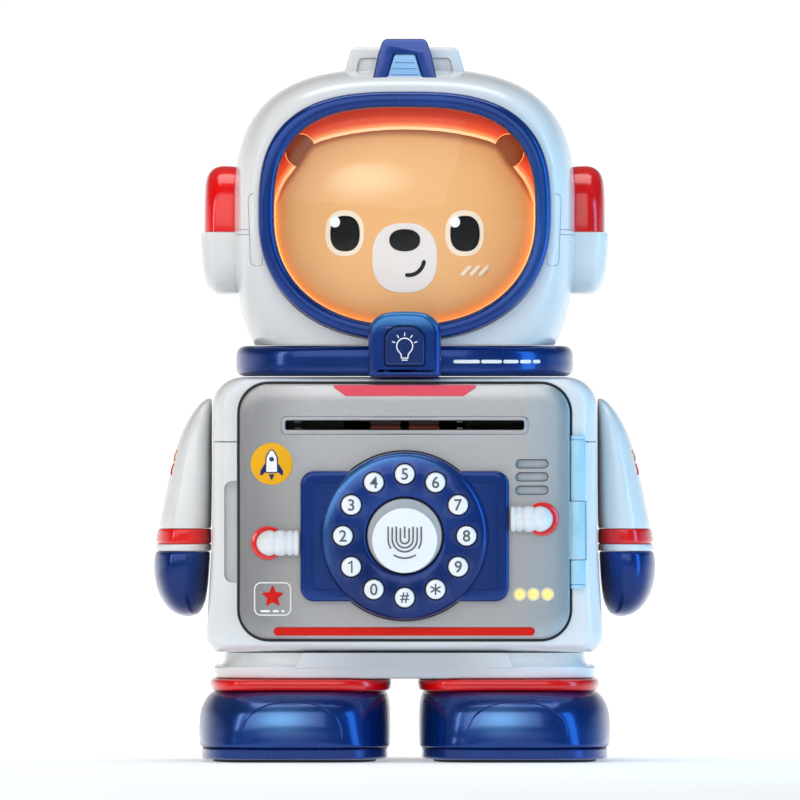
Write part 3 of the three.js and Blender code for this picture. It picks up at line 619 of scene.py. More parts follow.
def loft_z(name, rows, count=96, caps=True):
    """rows of [z, cx, cy, a, b_back, b_front, n]: rounded sections stacked along Z."""
    loops = []
    for z, cx, cy, a, bb, bf, n in rows:
        loop = []
        for i in range(count):
            t = 2 * PI * i / count
            c, s = math.cos(t), math.sin(t)
            k = (abs(c) ** n + abs(s) ** n) ** (-1.0 / n)
            loop.append((cx + a * c * k, cy + (bb if s >= 0 else bf) * s * k, z))
        loops.append(loop)
    return rings(name, loops, cap0=caps, cap1=caps)


def smooth_rows(keys, steps):
    """Catmull-Rom through key rows, so that a few sections give a smooth skin."""
    k = np.array(keys, float)
    out = []
    for i in range(len(k) - 1):
        p0, p1, p2, p3 = k[max(i - 1, 0)], k[i], k[i + 1], k[min(i + 2, len(k) - 1)]
        for s in range(steps):
            t = s / steps
            out.append(0.5 * ((2 * p1) + (p2 - p0) * t + (2 * p0 - 5 * p1 + 4 * p2 - p3) * t * t + (3 * p1 - p0 - 3 * p2 + p3) * t ** 3))
    out.append(k[-1])
    return [list(r) for r in out]


def bake(ob):
    """Applies the modifiers."""
    bpy.context.view_layer.update()
    dg = bpy.context.evaluated_depsgraph_get()
    me = bpy.data.meshes.new_from_object(ob.evaluated_get(dg), depsgraph=dg)
    ob.modifiers.clear()
    old = ob.data
    ob.data = me
    bpy.data.meshes.remove(old)
    return ob


def cut(ob, *cutters, mode="DIFFERENCE"):
    for c in cutters:
        m = ob.modifiers.new("cut", "BOOLEAN")
        m.operation, m.solver, m.object = mode, "EXACT", c
    bake(ob)
    for c in cutters:
        me = c.data
        bpy.data.objects.remove(c)
        bpy.data.meshes.remove(me)
    return ob


def block(name, x0, x1, y0, y1, z0, z1):
    v = [(x, y, z) for x in (x0, x1) for y in (y0, y1) for z in (z0, z1)]
    f = [(0, 1, 3, 2), (4, 6, 7, 5), (0, 4, 5, 1), (2, 3, 7, 6), (0, 2, 6, 4), (1, 5, 7, 3)]
    return raw(name, v, f)


def lettering(name, text, x, z, y_front, size, thick=0.18, mat=None, body="door"):
    cu = bpy.data.curves.new(name, "FONT")
    cu.body, cu.size, cu.align_x, cu.align_y = text, size * MM, "CENTER", "CENTER"
    cu.extrude, cu.resolution_u, cu.offset = thick * MM / 2, 6, size * 0.011 * MM
    tmp = bpy.data.objects.new(name + "_t", cu)
    scene.collection.objects.link(tmp)
    bpy.context.view_layer.update()
    me = bpy.data.meshes.new_from_object(tmp)
    bpy.data.objects.remove(tmp)
    bpy.data.curves.remove(cu)
    me.transform(Matrix.Rotation(PI / 2, 4, "X"))
    xs, zs = [v.co.x for v in me.vertices], [v.co.z for v in me.vertices]
    me.transform(Matrix.Translation(Vector((x * MM - (min(xs) + max(xs)) / 2, (y_front + thick / 2) * MM, z * MM - (min(zs) + max(zs)) / 2))))
    bm = bmesh.new(); bm.from_mesh(me)
    bmesh.ops.remove_doubles(bm, verts=bm.verts, dist=1e-7)
    bmesh.ops.recalc_face_normals(bm, faces=bm.faces)
    bm.to_mesh(me); bm.free()
    me.name = name
    ob = bpy.data.objects.new(name, me)
    scene.collection.objects.link(ob)
    return ob


# ================================================================ torso
T_CENTRE = (0.0, 86.0)
N_T = 288


def case(sx=0.0, st=0.0, sb=0.0, r=10.5):
    half = [(65.4 - sx, 37.9 + sb, 1.6), (68.6 - sx, 42.0 + sb * 0.7, 2.4), (66.7 - sx, 76.0, 30), (66.4 - sx, 104.0, 30), (66.4 - sx, 133 - st, r)]
    pts = half + [(-x, z, q) for x, z, q in half[::-1]]
    return polar(fillet(pts, 9), T_CENTRE, N_T)


plate_line = rrect(-56.9, 56.9, 42.6, 130.5, 10, 10)
recess = polar(inset(plate_line if area(plate_line) > 0 else plate_line[::-1], -1.0), T_CENTRE, N_T)
door_hole = polar(rrect(-55.5, 55.5, 45, 128, 8, 8), T_CENTRE, N_T)

front_loops = [at_y(case(), -0.2), at_y(case(), -20), at_y(case(), -40)]
for k in range(1, 9):
    f = PI / 2 * k / 8
    front_loops.append(at_y(case(6.0 * (1 - math.cos(f)), 1.35 * (1 - math.cos(f)), 3.0 * (1 - math.cos(f)), 10.5 - 2.2 * (1 - math.cos(f))), -40 - 12 * math.sin(f) ** 1.0))
front_loops += [at_y(recess, -52), at_y(recess, -51.0), at_y(door_hole, -51.0), at_y(door_hole, -47),
                at_y(case(3, 3, 3), -47), at_y(case(3, 3, 3), -0.2)]
torso_front = rings("torso_front_moulding", front_loops, closed=True)

# finger scoop, hinge pocket, mortise and the parting grooves at both flanks
scoop = slab("scoop", rrect(-62.3, -54, 62, 97.1, 2.8), -54, -48.4, bev=0, bev1=0.8)
groove_cutters = []
for s in (-1, 1):
    x0, x1 = sorted((s * 57.9, s * 72))
    groove_cutters.append(block("g", x0, x1, -56, -43.5, 110.4, 110.75))
pocket = rings("pocket", [[(59.8 + 3.1 * math.cos(2 * PI * i / 40), -52.2 + 3.1 * math.sin(2 * PI * i / 40), z) for i in range(40)] for z in (69.85, 90.15)])

mortise = block("m", -60.6, -54, -51.3, -46, 102.8, 109.2)
cut(torso_front, scoop, mortise, pocket, *groove_cutters)

done(torso_front, WHITE, "case", ["torso_front_shell"], smooth=34)


def barrel(name, z0, z1, mat, body, replaces=()):
    """Hinge barrel with a flat back into the case and softly rounded ends."""
    sec = []
    for a in range(0, 40):
        t = 2 * PI * a / 40
        c, s = math.cos(t), math.sin(t)
        k = (abs(c) ** 2.6 + abs(s) ** 2.6) ** (-1 / 2.6)
        sec.append((59.8 + 2.6 * c * k, -52.2 + 2.6 * s * k))
    loops = []
    for z, g in ((z0, 0.86), (z0 + 0.12, 0.95), (z0 + 0.35, 1.0), (z1 - 0.35, 1.0), (z1 - 0.12, 0.95), (z1, 0.86)):
        loops.append([(59.8 + (x - 59.8) * g, -52.2 + (y + 52.2) * g, z) for x, y in sec])
    ob = rings(name, loops)
    return done(ob, mat, body, replaces)


# the hinge barrels' pale cyan is painted cyan light
barrel("hinge_lug_lower", 61.4, 69.8, HINGE_PAINTED_CYAN_LIGHT, "case")
barrel("hinge_lug_upper", 90.2, 111.3, HINGE_PAINTED_CYAN_LIGHT, "case")
barrel("hinge_cap_lower", 59.9, 61.35, HINGE_PAINTED_CYAN_LIGHT, "case")
barrel("hinge_cap_upper", 111.35, 112.8, HINGE_PAINTED_CYAN_LIGHT, "case")
barrel("hinge_knuckle_barrel", 70.0, 90.0, HINGE_PAINTED_CYAN_LIGHT, "door")

rear_loops = [at_y(case(), 0.2), at_y(case(), 20), at_y(case(), 42)]
for k in range(1, 9):
    f = PI / 2 * k / 8
    q = 1 - math.cos(f)
    rear_loops.append(at_y(case(9 * q, 7 * q, 6 * q, 10.5), 42 + 12 * math.sin(f)))
rear_loops.append([(x * 0.5, 54, 86 + (z - 86) * 0.5) for x, _, z in rear_loops[-1]])
rear_outer = rear_loops
inner = [at_y(case(3, 3, 3), 0.2), at_y(case(3, 3, 3), 51)]
inner.append([(x * 0.4, 51, 86 + (z - 86) * 0.4) for x, _, z in inner[-1]])
torso_rear = rings("torso_rear_moulding", inner[::-1] + rear_outer)
# inner cap, rim and outer cap make one closed shell
coin_cut = slab("coin", rrect(-16, 16, 112.8, 117.4, 1.6), 45, 70, bev=0, bev1=0)
cut(torso_rear, coin_cut)
done(torso_rear, WHITE, "case", ["torso_rear_shell"], smooth=34)

# a black ring under the door plate's edge, showing as a dark outline round the plate: painted shadow
shadow_ring_outline = plate_line if area(plate_line) > 0 else plate_line[::-1]
plate_edge_shadow_ring = slab("door_edge_painted_shadow", inset(shadow_ring_outline, -0.9), -51.75, -51.05, holes=[inset(shadow_ring_outline, 1.25)], bev=0.1, bev1=0.1)
cut(plate_edge_shadow_ring, block("gk", 56.4, 58.2, -53, -50, 61.2, 111.5))
done(plate_edge_shadow_ring, BLACK, "case")

# back pack panel with the battery bay and the coin slot
pack = slab("back_pack_panel", rrect(-44, 44, 50, 124, 9, 10), 53.2, 64, holes=[rrect(-16, 16, 112.8, 117.4, 1.6, 5), rrect(-30.3, 30.3, 55.6, 107.9, 2.2, 5)] + [circle(x, z, 2.35, 28) for x in (-38.2, 38.2) for z in (56.4, 117.4)], bev=0.2, bev1=2.4, seg=5)
done(pack, WHITE, "case", weighted=True)
coin_rim = slab("coin_slot_rim", rrect(-18.4, 18.4, 110.6, 119.6, 3.4, 6), 62.6, 63.95, holes=[rrect(-15.9, 15.9, 112.9, 117.3, 1.5, 5)], bev=0.1, bev1=0.6)
done(coin_rim, NAVY, "case", weighted=True)
bay = slab("battery_bay_floor", rrect(-30.2, 30.2, 55.7, 107.8, 2, 4), 53.4, 54.2, bev=0.1)
done(bay, WHITE, "case", weighted=True)

cover = slab("battery_cover_lid", rrect(-29.8, 29.8, 56.1, 107.4, 2, 6), 61.6, 63.9, bev=0.2, bev1=0.5)
cutters = [slab("thumb", rrect(-8, 8, 58.6, 63.4, 2, 5), 63.1, 66, bev=0, bev1=0)]
cutters.append(slab("sw", circle(0, 103.0, 2.0, 28), 62.0, 66, bev=0, bev1=0))
for z in (66, 68.2, 70.4):
    cutters.append(slab("rib", rrect(-9, 9, z, z + 0.9, 0.4, 3), 63.45, 66, bev=0, bev1=0))
cut(cover, *cutters)
done(cover, WHITE, "battery_cover", ["battery_cover"], bevel=0.12, weighted=True)


def screw(name, x, z, y_face, body="case", side=1, r=2.1):
    """Pan-head cross screw sunk in a round counterbore ring."""
    head = lathe_y(name, [(0, y_face - side * 0.15), (r * 0.55, y_face - side * 0.18), (r * 0.85, y_face - side * 0.45), (r, y_face - side * 0.9), (r, y_face - side * 1.6), (0, y_face - side * 1.6)], x, z, 32)
    a = block("a", x - r * 0.62, x + r * 0.62, y_face - side * 0.9, y_face + side * 0.5, z - 0.26, z + 0.26)
    b = block("b", x - 0.26, x + 0.26, y_face - side * 0.9, y_face + side * 0.5, z - r * 0.62, z + r * 0.62)
    cut(head, a, b)
    done(head, STEEL, body)
    if body == "door":
        ring = lathe_y(name + "_boss", [(r + 0.15, y_face - side * 1.2), (r + 0.15, y_face - side * 0.35), (r + 0.4, y_face - side * 0.2), (r + 0.9, y_face - side * 0.35), (r + 1.1, y_face - side * 1.2)], x, z, 32)
        done(ring, WHITE, body)


for i, (x, z) in enumerate(((-38.2, 56.4), (38.2, 56.4), (-38.2, 117.4), (38.2, 117.4))):
    screw(f"back_screw_{i + 1}", x, z, 63.6, side=1)
screw("cover_screw", 0, 103.0, 63.5, body="battery_cover", r=1.75)
for i, (x, z) in enumerate(((-40.5, 55.5), (40.5, 55.5), (-40.5, 105), (40.5, 105))):
    screw(f"housing_screw_{i + 1}", x, z, -25.35, body="door", side=1)

deflector = slab("coin_deflector", rrect(-21, 21, 104, 125, 1.5, 4), 32.4, 33.4, bev=0.2)
cut(deflector, slab("dn", rrect(-8, 8, 100, 107, 2, 4), 30, 36, bev=0, bev1=0))
done(deflector, BLACK, "case", weighted=True)
for s_, tag in ((-1, "left"), (1, "right")):
    done(slab(f"deflector_cheek_{tag}", rrect(*sorted((s_ * 19.4, s_ * 20.8)), 105, 124, 0.4, 3), 33.2, 38.6, bev=0.15), BLACK, "case", weighted=True)

# inside: the vault wall and chute keep their shape, with a sleeve that lines the coin slot
for n, m in {"vault_partition": WHITE, "battery_cells": CELL, "hinge_pin": STEEL, "door_housing": WHITE, "door_knuckle": WHITE, "main_circuit_board": BOARD,
             "speaker": BLACK, "feed_motor": STEEL, "latch_solenoid": STEEL, "latch_bolt": STEEL, "head_light_board": BOARD}.items():
    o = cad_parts[n]
    o.data.materials.clear()
    o.data.materials.append(m)
    for s in o.material_slots:
        s.link = "DATA"
        s.material = m

# boots: a painted highlight, a soft lighter spot on the front of each toe
NAVY_TOE_PAINTED_HIGHLIGHT = painted_highlight_spot(NAVY, "navy_toe_spot_painted_highlight", "toe", (120, 182, 240), 0.62)
# ================================================================ hips and legs
hip_rows = [[28.8, 0, 0, 65.2, 49.2, 49.2, 6], [29.2, 0, 0, 65.9, 49.8, 49.8, 6], [30.0, 0, 0, 66.2, 50, 50, 6], [32.4, 0, 0, 66.2, 50, 50, 6], [32.9, 0, 0, 65.8, 49.6, 49.6, 6],
            [33.05, 0, 0, 63.6, 48, 48, 6], [34.5, 0, 0, 62.6, 47.2, 47.2, 6], [37.7, 0, 0, 62.2, 47, 47, 6]]
hip = loft_z("hip_moulding", hip_rows, 160)
hip_cut = []
for s in (-1, 1):
    hip_cut.append(block("p2", *sorted((s * 38.2, s * 61)), -60, -49.55, 30.9, 31.2))
cut(hip, *hip_cut)
done(hip, WHITE_HIP_PAINTED_SHADE, "case", ["hip_base"], smooth=34)
done(slab("hip_middle_panel", fillet([(37.9, 32.2, 0.3), (35.3, 37.75, 0.5), (-35.3, 37.75, 0.5), (-37.9, 32.2, 0.3)], 3), -50.0, -45, bev=0.35), WHITE_HIP_PAINTED_SHADE, "case", weighted=True)

for side, tag in ((-1, "left"), (1, "right")):
    def foot(z, x0, x1, y0, y1, n):
        return [z, side * (x0 + x1) / 2, (y0 + y1) / 2, (x1 - x0) / 2, (y1 - y0) / 2, (y1 - y0) / 2, n]
    ring = loft_z(f"boot_ring_{tag}_band", smooth_rows([foot(24.5, 5.2, 66.2, -51.2, 51.2, 4.6), foot(24.9, 4.8, 67, -52, 52, 4.6), foot(25.8, 4.5, 67.4, -52.4, 52.4, 4.6),
                  foot(27.2, 4.5, 67.4, -52.4, 52.4, 4.6), foot(28.1, 4.8, 67, -52, 52, 4.6), foot(28.5, 5.4, 66.2, -51.2, 51.2, 4.6)], 4), 144)
    done(ring, RED, "case", [f"boot_ring_{tag}"])
    boot = loft_z(f"boot_{tag}_shell", smooth_rows([foot(5.0, 5.4, 70.3, -63.0, 59.0, 3.9), foot(5.7, 5.0, 71.0, -63.8, 59.8, 3.8), foot(8.5, 4.9, 71.3, -63.93, 59.93, 3.6),
                  foot(13, 4.9, 71.25, -63.85, 59.9, 3.4), foot(17.5, 5.0, 70.7, -62.6, 59.0, 3.3), foot(21.0, 5.4, 69.2, -59.6, 56.8, 3.3), foot(23.2, 6.0, 67.4, -56.0, 54.6, 3.4),
                  foot(24.2, 7.2, 65.6, -53.2, 52.6, 3.6)], 6), 176)
    cv = np.array([v.co[:] for v in boot.data.vertices]) / MM
    # painted highlight: the stored toe value is high in a soft spot on the front of each toe
    toe_x = -42.5 if side < 0 else 33.0
    spot = np.exp(-((cv[:, 0] - toe_x) / 9.5) ** 2 - ((cv[:, 2] - 14.8) / 4.4) ** 2) * (cv[:, 1] < -40)
    put_attribute(boot, "toe", np.clip(spot, 0, 1))
    done(boot, NAVY_TOE_PAINTED_HIGHLIGHT, "case", [f"boot_{tag}"])
    # toe-cap welt: a raised bead that arches over the front of the toe
    welt = []
    for i in range(41):
        u = i / 40
        ang = PI * u
        x = side * (38.9 - 17.2 * math.cos(ang))
        z = 6.4 + 14.4 * math.sin(ang) ** 0.62
        n, zz = 3.4, z
        a, b = 33.2, 62.0
        # front surface of the boot at this height
        rows = [[8.5, 64.0], [13, 63.9], [17.5, 62.6], [21.0, 59.6], [23.2, 56.0]]
        y_front = np.interp(zz, [r[0] for r in rows], [r[1] for r in rows])
        cx = side * 38.1
        off = abs(x - cx) / a
        y = -2.0 - (y_front - 2.0) * (max(0.0, 1 - off ** n)) ** (1 / n)
        welt.append((x, y + 0.14, z))
    done(tube(f"toe_welt_{tag}", welt, 0.42, 10), NAVY, "case")
    sole = loft_z(f"sole_{tag}_shell", [foot(1.0, 7.0, 69.2, -61.6, 57.8, 4.4), foot(1.25, 6.2, 70.0, -62.5, 58.7, 4.4), foot(1.7, 5.9, 70.3, -62.8, 59, 4.4),
                  foot(4.2, 5.9, 70.3, -62.8, 59, 4.4), foot(4.65, 6.2, 70.0, -62.5, 58.7, 4.4), foot(4.8, 6.8, 69.4, -61.9, 58.1, 4.4)], 144)
    done(sole, NAVY, "case", [f"sole_{tag}"])
    pad = loft_z(f"foot_pad_{tag}", [foot(0.0, 10.4, 65.9, -58.4, 54.8, 4.4), foot(0.15, 9.9, 66.4, -58.9, 55.3, 4.4), foot(1.05, 9.8, 66.5, -59, 55.4, 4.4)], 120)
    done(pad, PAD_BLACK, "case")

# ================================================================ arms
def limb(name, side, rows, n, count=96, steps=5):
    keys = [[z, side * (xi + xo) / 2, 0, (xo - xi) / 2, d, d, n] for z, xi, xo, d in rows]
    return loft_z(name, smooth_rows(keys, steps), count)


for side, tag in ((-1, "left"), (1, "right")):
    upper = [[80.6, 67.3, 85.0, 23.2], [83, 67.1, 84.9, 23.3], [89, 67, 83.7, 23], [98.5, 66.9, 81.7, 22.4], [108.5, 66.9, 79.2, 21], [115, 66.9, 76.7, 19.2],
             [120, 66.9, 73.9, 16.2], [123.4, 66.95, 71.3, 12.6], [125.0, 67.0, 69.4, 8.4], [125.5, 67.3, 68.4, 4.0]]
    done(limb(f"arm_{tag}_shell", side, upper, 2.5), WHITE, "case", [f"arm_{tag}"])
    band = [[75.2, 67.6, 85.6, 22.9], [75.5, 67.2, 86.1, 23.4], [76.4, 67.1, 86.3, 23.6], [79.2, 67.1, 85.9, 23.5], [80.1, 67.2, 85.5, 23.3], [80.4, 67.6, 85.0, 22.8]]
    done(limb(f"arm_band_{tag}", side, band, 2.5), RED, "case")
    cuff = [[72.7, 67.6, 85.9, 23.0], [72.9, 67.3, 86.3, 23.4], [73.6, 67.2, 86.4, 23.6], [74.5, 67.2, 86.3, 23.6], [74.95, 67.3, 86.1, 23.4], [75.1, 67.6, 85.7, 23.0]]
    done(limb(f"arm_cuff_{tag}", side, cuff, 2.5), WHITE, "case")
    hand = [[49.9, 74.6, 75.6, 3.0], [50.15, 73.2, 77.4, 7.2], [51, 71.6, 79.6, 12.6], [52.6, 70.3, 81.8, 16.8], [55, 69.3, 83.8, 20.0], [58.5, 68.6, 85.6, 22.3], [63, 68.1, 86.7, 23.6],
            [67.5, 67.8, 87, 24], [71, 67.6, 86.7, 23.8], [72.1, 67.7, 86.3, 23.4], [72.5, 68.0, 85.8, 22.9]]
    done(limb(f"hand_{tag}_shell", side, hand, 2.6), NAVY_HAND_PAINTED_SHADE, "case", [f"hand_{tag}"])


def arm_x(z, y):
    """Outer surface of the arm at height z and depth y."""
    zs, xi, xo, d = ([r[k] for r in upper] for k in range(4))
    a, c, dd = (np.interp(z, zs, xo) - np.interp(z, zs, xi)) / 2, (np.interp(z, zs, xo) + np.interp(z, zs, xi)) / 2, np.interp(z, zs, d)
    return float(c + a * max(0.0, 1 - (abs(y) / dd) ** 2.5) ** (1 / 2.5))


for side, tag in ((-1, "left"), (1, "right")):
    for i, (z0, z1, w) in enumerate(((107.2, 104.0, 3.4), (102.6, 99.4, 2.2))):
        pts = []
        for k in range(9):
            u = k / 8
            y = -12.0 + w * (1 - abs(2 * u - 1))
            z = z0 + (z1 - z0) * u
            pts.append((side * (arm_x(z, y) - 0.12), y, z))
        done(tube(f"arm_print_{tag}_{i + 1}", pts, 0.55, 8, radii=[0.55] * 9), ORANGE_PRINT if i == 0 else BAR_RED, "case")

# ================================================================ collar, lamp housing and lamp button
collar_rows = [[133.3, 0, 0, 55.6, 47.4, 47.4, 3.2], [133.5, 0, 0, 56.6, 48.3, 48.3, 3.2], [134.2, 0, 0, 57.7, 49.4, 49.4, 3.2], [135.6, 0, 0, 58.35, 49.95, 49.95, 3.2], [138.5, 0, 0, 58.4, 50, 50, 3.2],
               [141.2, 0, 0, 58.3, 49.9, 49.9, 3.2], [142.8, 0, 0, 57.5, 49.2, 49.2, 3.2], [143.6, 0, 0, 56.3, 48.0, 48.0, 3.2], [143.8, 0, 0, 54.8, 46.6, 46.6, 3.2]]
done(loft_z("collar_band", smooth_rows(collar_rows, 3), 200), NAVY, "case", ["collar_ring"])


def collar_y(x, z):
    a, b = 58.4, 50.0
    return -b * (max(0.0, 1 - (abs(x) / a) ** 3.2)) ** (1 / 3.2)


# plain marks in the place of a slogan: a row of bars that get shorter
for i, (x0, x1) in enumerate(((17.4, 25.4), (27.0, 33.0), (34.6, 38.8), (40.4, 43.2), (44.8, 46.4))):
    pts = [(x, collar_y(x, 138.3) - 0.02, 138.3) for x in np.linspace(x0, x1, 8)]
    done(tube(f"collar_mark_{i + 1}", pts, 0.62, 10, flat=0.35), PRINT_WHITE, "case")


def arch(x, z0, z1, shoulder, grow=0.0, power=0.75, seg=14, foot=1.2):
    right = [(x + grow - foot, z0 - grow), (x + grow - foot * 0.3, z0 - grow + foot * 0.3), (x + grow, z0 - grow + foot), (x + grow, shoulder)]
    for i in range(1, seg + 1):
        t = PI / 2 * i / seg
        right.append(((x + grow) * math.cos(t) ** power if i < seg else 0.0, shoulder + (z1 + grow - shoulder) * math.sin(t)))
    return right + [(-u, v) for u, v in right[:-1][::-1]]


lamp = slab("lamp_housing_shell", arch(12.6, 132.9, 155.6, 147.5, power=0.62), -60, -50.4, holes=[], bev=2.6, seg=6, bev1=0.4)
cut(lamp, slab("pk", arch(7.25, 136.5, 150.9, 145.6, power=0.7), -62, -56.0, bev=0, bev1=0))
done(lamp, NAVY_HOUSING_PAINTED_HIGHLIGHT, "case", ["lamp_housing"], smooth=30, bevel=0.25, bevel_seg=2)
button = slab("lamp_button_cap", arch(6.85, 136.95, 150.45, 145.4, power=0.7), -61.1, -57.3, bev=0.9, seg=5)
done(button, NAVY_DEEP, "lamp_button", ["lamp_button"], weighted=True)

# bulb sign: outline of a bulb, its cap and five rays
YB = -61.12
bulb = [(2.75 * math.cos(math.radians(a)), YB, 143.6 + 2.75 * math.sin(math.radians(a))) for a in range(-52, 233, 9)]
bulb = [(1.15, YB, 139.9), (1.2, YB, 140.6)] + bulb + [(-1.2, YB, 140.6), (-1.15, YB, 139.9)]
done(tube("bulb_outline", bulb, 0.2, 8, flat=0.4), PRINT_WHITE, "lamp_button")
for i, z in enumerate((139.5, 138.8)):
    done(tube(f"bulb_cap_{i + 1}", [(-1.15 + 0.25 * i, YB, z), (1.15 - 0.25 * i, YB, z)], 0.18, 8, flat=0.4), PRINT_WHITE, "lamp_button")
for i, a in enumerate((20, 55, 90, 125, 160)):
    c, s = math.cos(math.radians(a)), math.sin(math.radians(a))
    done(tube(f"bulb_ray_{i + 1}", [(3.6 * c, YB, 143.6 + 3.6 * s), (4.5 * c, YB, 143.6 + 4.5 * s)], 0.18, 8, flat=0.4), PRINT_WHITE, "lamp_button")

# ================================================================ helmet
HZ = 188.0
N_H = 240
V_OUT = dict(cx=0, cz=188.5, a=50.7, up=42.9, dn=42.8, nu=2.86, nd=2.25)
V_IN = dict(cx=0, cz=188.5, a=45.0, up=37.6, dn=37.7, nu=2.86, nd=2.25)


def helmet_section(y, d=0.0):
    """Outline of the helmet at depth y, shrunk by d, sampled about the head centre."""
    full = np.array(se(0, HZ, 59.2 - d, 52 - d, 64 - d, 3.0, 3.0, N_H))
    if y >= 0:
        k = (max(0.0, 1 - (y / (60.0 - d)) ** 3)) ** (1 / 3)
        pts = np.array([0, HZ]) + (full - np.array([0, HZ])) * k
    else:
        vis = np.array(se(count=N_H, grow=-0.9, **V_OUT))
        w = (max(0.0, 1 - (-y / (47.0 - d)) ** 2.7)) ** (1 / 2.7)
        pts = vis + (full - vis) * w
    return [(float(x), y, float(z)) for x, z in pts]


def helmet_shell(name, ys, d=2.4, front=False):
    outer = [helmet_section(y) for y in ys]
    inner_ys = [y if abs(y) < 1 else (y * (1 - d / 60)) for y in ys]
    inner_l = [helmet_section(max(min(y, 57.4), -44.4), d) for y in inner_ys]
    if front:
        ob = rings(name, outer + inner_l[::-1], closed=True)
    else:
        tip_o, tip_i = (0.0, 60.0, HZ), (0.0, 57.6, HZ)
        ob = rings(name, [[tip_i] * N_H] + inner_l[::-1] + outer + [[tip_o] * N_H], cap0=False, cap1=False)
    bm = bmesh.new()
    bm.from_mesh(ob.data)
    bmesh.ops.bisect_plane(bm, geom=bm.verts[:] + bm.edges[:] + bm.faces[:], plane_co=(0, 0, 144.1 * MM), plane_no=(0, 0, -1), clear_outer=True, dist=1e-7)
    edges = [e for e in bm.edges if e.is_boundary]
    bmesh.ops.holes_fill(bm, edges=edges, sides=0)
    bmesh.ops.recalc_face_normals(bm, faces=bm.faces)
    bm.to_mesh(ob.data)
    bm.free()
    return ob


front_ys = [-0.25] + [-(47.0 - 47.0 * (1 - math.sin(PI / 2 * k / 26)) ** 1.0) for k in range(1, 26)] + [-46.99]
front_ys = sorted(set(round(max(y, -46.99), 4) for y in front_ys), reverse=True)
rear_ys = [0.25] + [60 * math.sin(PI / 2 * k / 26) for k in range(1, 26)] + [59.9]
helmet_front = helmet_shell("helmet_front_moulding", front_ys, front=True)
done(helmet_front, WHITE_HELMET_PAINTED_SHADE, "case", ["helmet_front_shell"], smooth=40)
helmet_rear = helmet_shell("helmet_rear_moulding", rear_ys)
done(helmet_rear, WHITE_HELMET_PAINTED_SHADE, "case", ["helmet_rear_shell"], smooth=40)

def skin_y(x, z, lift=0.0):
    """Depth of the helmet's front skin at (x, z), found between its own sections."""
    ys = np.linspace(-46.9, -0.3, 90)
    p = np.array([x, z - HZ])
    r, t = float(np.hypot(*p)), math.atan2(p[1], p[0]) % (2 * PI)
    best, prev = ys[-1], None
    for y in ys:
        sec = np.array([(q[0], q[2] - HZ) for q in helmet_section(float(y))])
        ang = np.arctan2(sec[:, 1], sec[:, 0]) % (2 * PI)
        o = np.argsort(ang)
        rr = float(np.interp(t, ang[o], np.hypot(sec[:, 0], sec[:, 1])[o], period=2 * PI))
        if rr >= r:
            if prev is None:
                return float(y) - lift
            f = (r - prev[1]) / max(rr - prev[1], 1e-6)
            return prev[0] + (float(y) - prev[0]) * f - lift
        prev = (float(y), rr)
    return best - lift


def skin_bead(name, pts, radius, mat, sides=8, closed=False, lift=0.0, flat=0.6):
    return done(tube(name, [(x, skin_y(x, z, lift), z) for x, z in pts], radius, sides, closed=closed, flat=flat), mat, "case")


def along(points, step=1.0):
    out = []
    for a, b in zip(points, points[1:]):
        n = max(1, int(math.hypot(b[0] - a[0], b[1] - a[1]) / step))
        out += [(a[0] + (b[0] - a[0]) * k / n, a[1] + (b[1] - a[1]) * k / n) for k in range(n)]
    return out + [points[-1]]


SEAM = moulded("soft_seam_shadow", (150, 156, 164), rough=0.5, coat=0.0, mottle=0.08, edge=0.0)
for s_, tag in ((-1, "left"), (1, "right")):
    tab = fillet([(s_ * 49.2, 196.4, 1.0), (s_ * 49.2, 171.3, 1.0), (s_ * 53.2, 171.5, 1.6), (s_ * 54.1, 196.2, 1.8)], 4)
    tab = [(x, z) for x, z in along(tab + [tab[0]], 1.2)[:-1]]
    skin_bead(f"helmet_tab_{tag}", tab, 0.16, SEAM, 6, closed=True)
    for i, z in enumerate((183.9, 182.2)):
        skin_bead(f"helmet_seam_{tag}_{i + 1}", along([(s_ * (53.9 - 0.1 * i), z), (s_ * 59.0, z)], 0.8), 0.16, SEAM, 6)

# visor ring
prof = []
for k in range(28):
    t = 2 * PI * k / 28
    c, s = math.cos(t), math.sin(t)
    q = (abs(c) ** 3.4 + abs(s) ** 2.6) ** (-1 / 3.0)
    prof.append((max(-1, min(1, c * q)), max(-1, min(1, s * q))))
mid = dict(cx=0, cz=188.5, a=47.85, up=40.25, dn=40.25, nu=2.86, nd=2.25)
loops = [at_y(se(count=240, grow=2.85 * c, **mid), -48.7 - 4.3 * s) for c, s in prof]
done(rings("visor_ring_band", loops, closed=True), NAVY_RING_PAINTED_LIGHT, "case", ["visor_ring"])

# clear lens, gently domed
lens_loops = []
for t in [0.02] + [k / 22 for k in range(1, 23)]:
    lens_loops.append(at_y([(x * t, 188.5 + (z - 188.5) * t) for x, z in se(count=160, grow=-0.35, **V_IN)], -47.9 - 8.4 * (1 - t ** 2.2)))
back_loops = [[(x, y + 1.1, z) for x, y, z in loop] for loop in lens_loops]
lens = rings("visor_lens_clear", lens_loops + back_loops[::-1])
lens.visible_shadow = False
done(lens, LENS, "case", ["visor_lens"])

# lit backing bowl behind the head, with the light that spills past the head's edge stored on the mesh
v_low = se(count=720, grow=-0.75, **V_IN)
low_right = sorted([(x, z) for x, z in v_low if x > 0 and z < 193], key=lambda q: -q[1])[::12]
head_half = [(0, 218.5), (6, 218.35), (12, 217.9), (18, 217.1), (24, 215.9), (29, 214.5), (32.6, 212.9), (34.6, 210.2), (36.4, 207.0), (38.6, 204.0), (40.9, 201.0), (42.6, 197.6), (43.4, 195.2)]
right = head_half + low_right + [(0, min(q[1] for q in v_low))]
head_line = [(x, z) for x, z in right] + [(-x, z) for x, z in right[1:-1][::-1]]
hl = np.array(head_line)
hseg = np.roll(hl, -1, axis=0) - hl


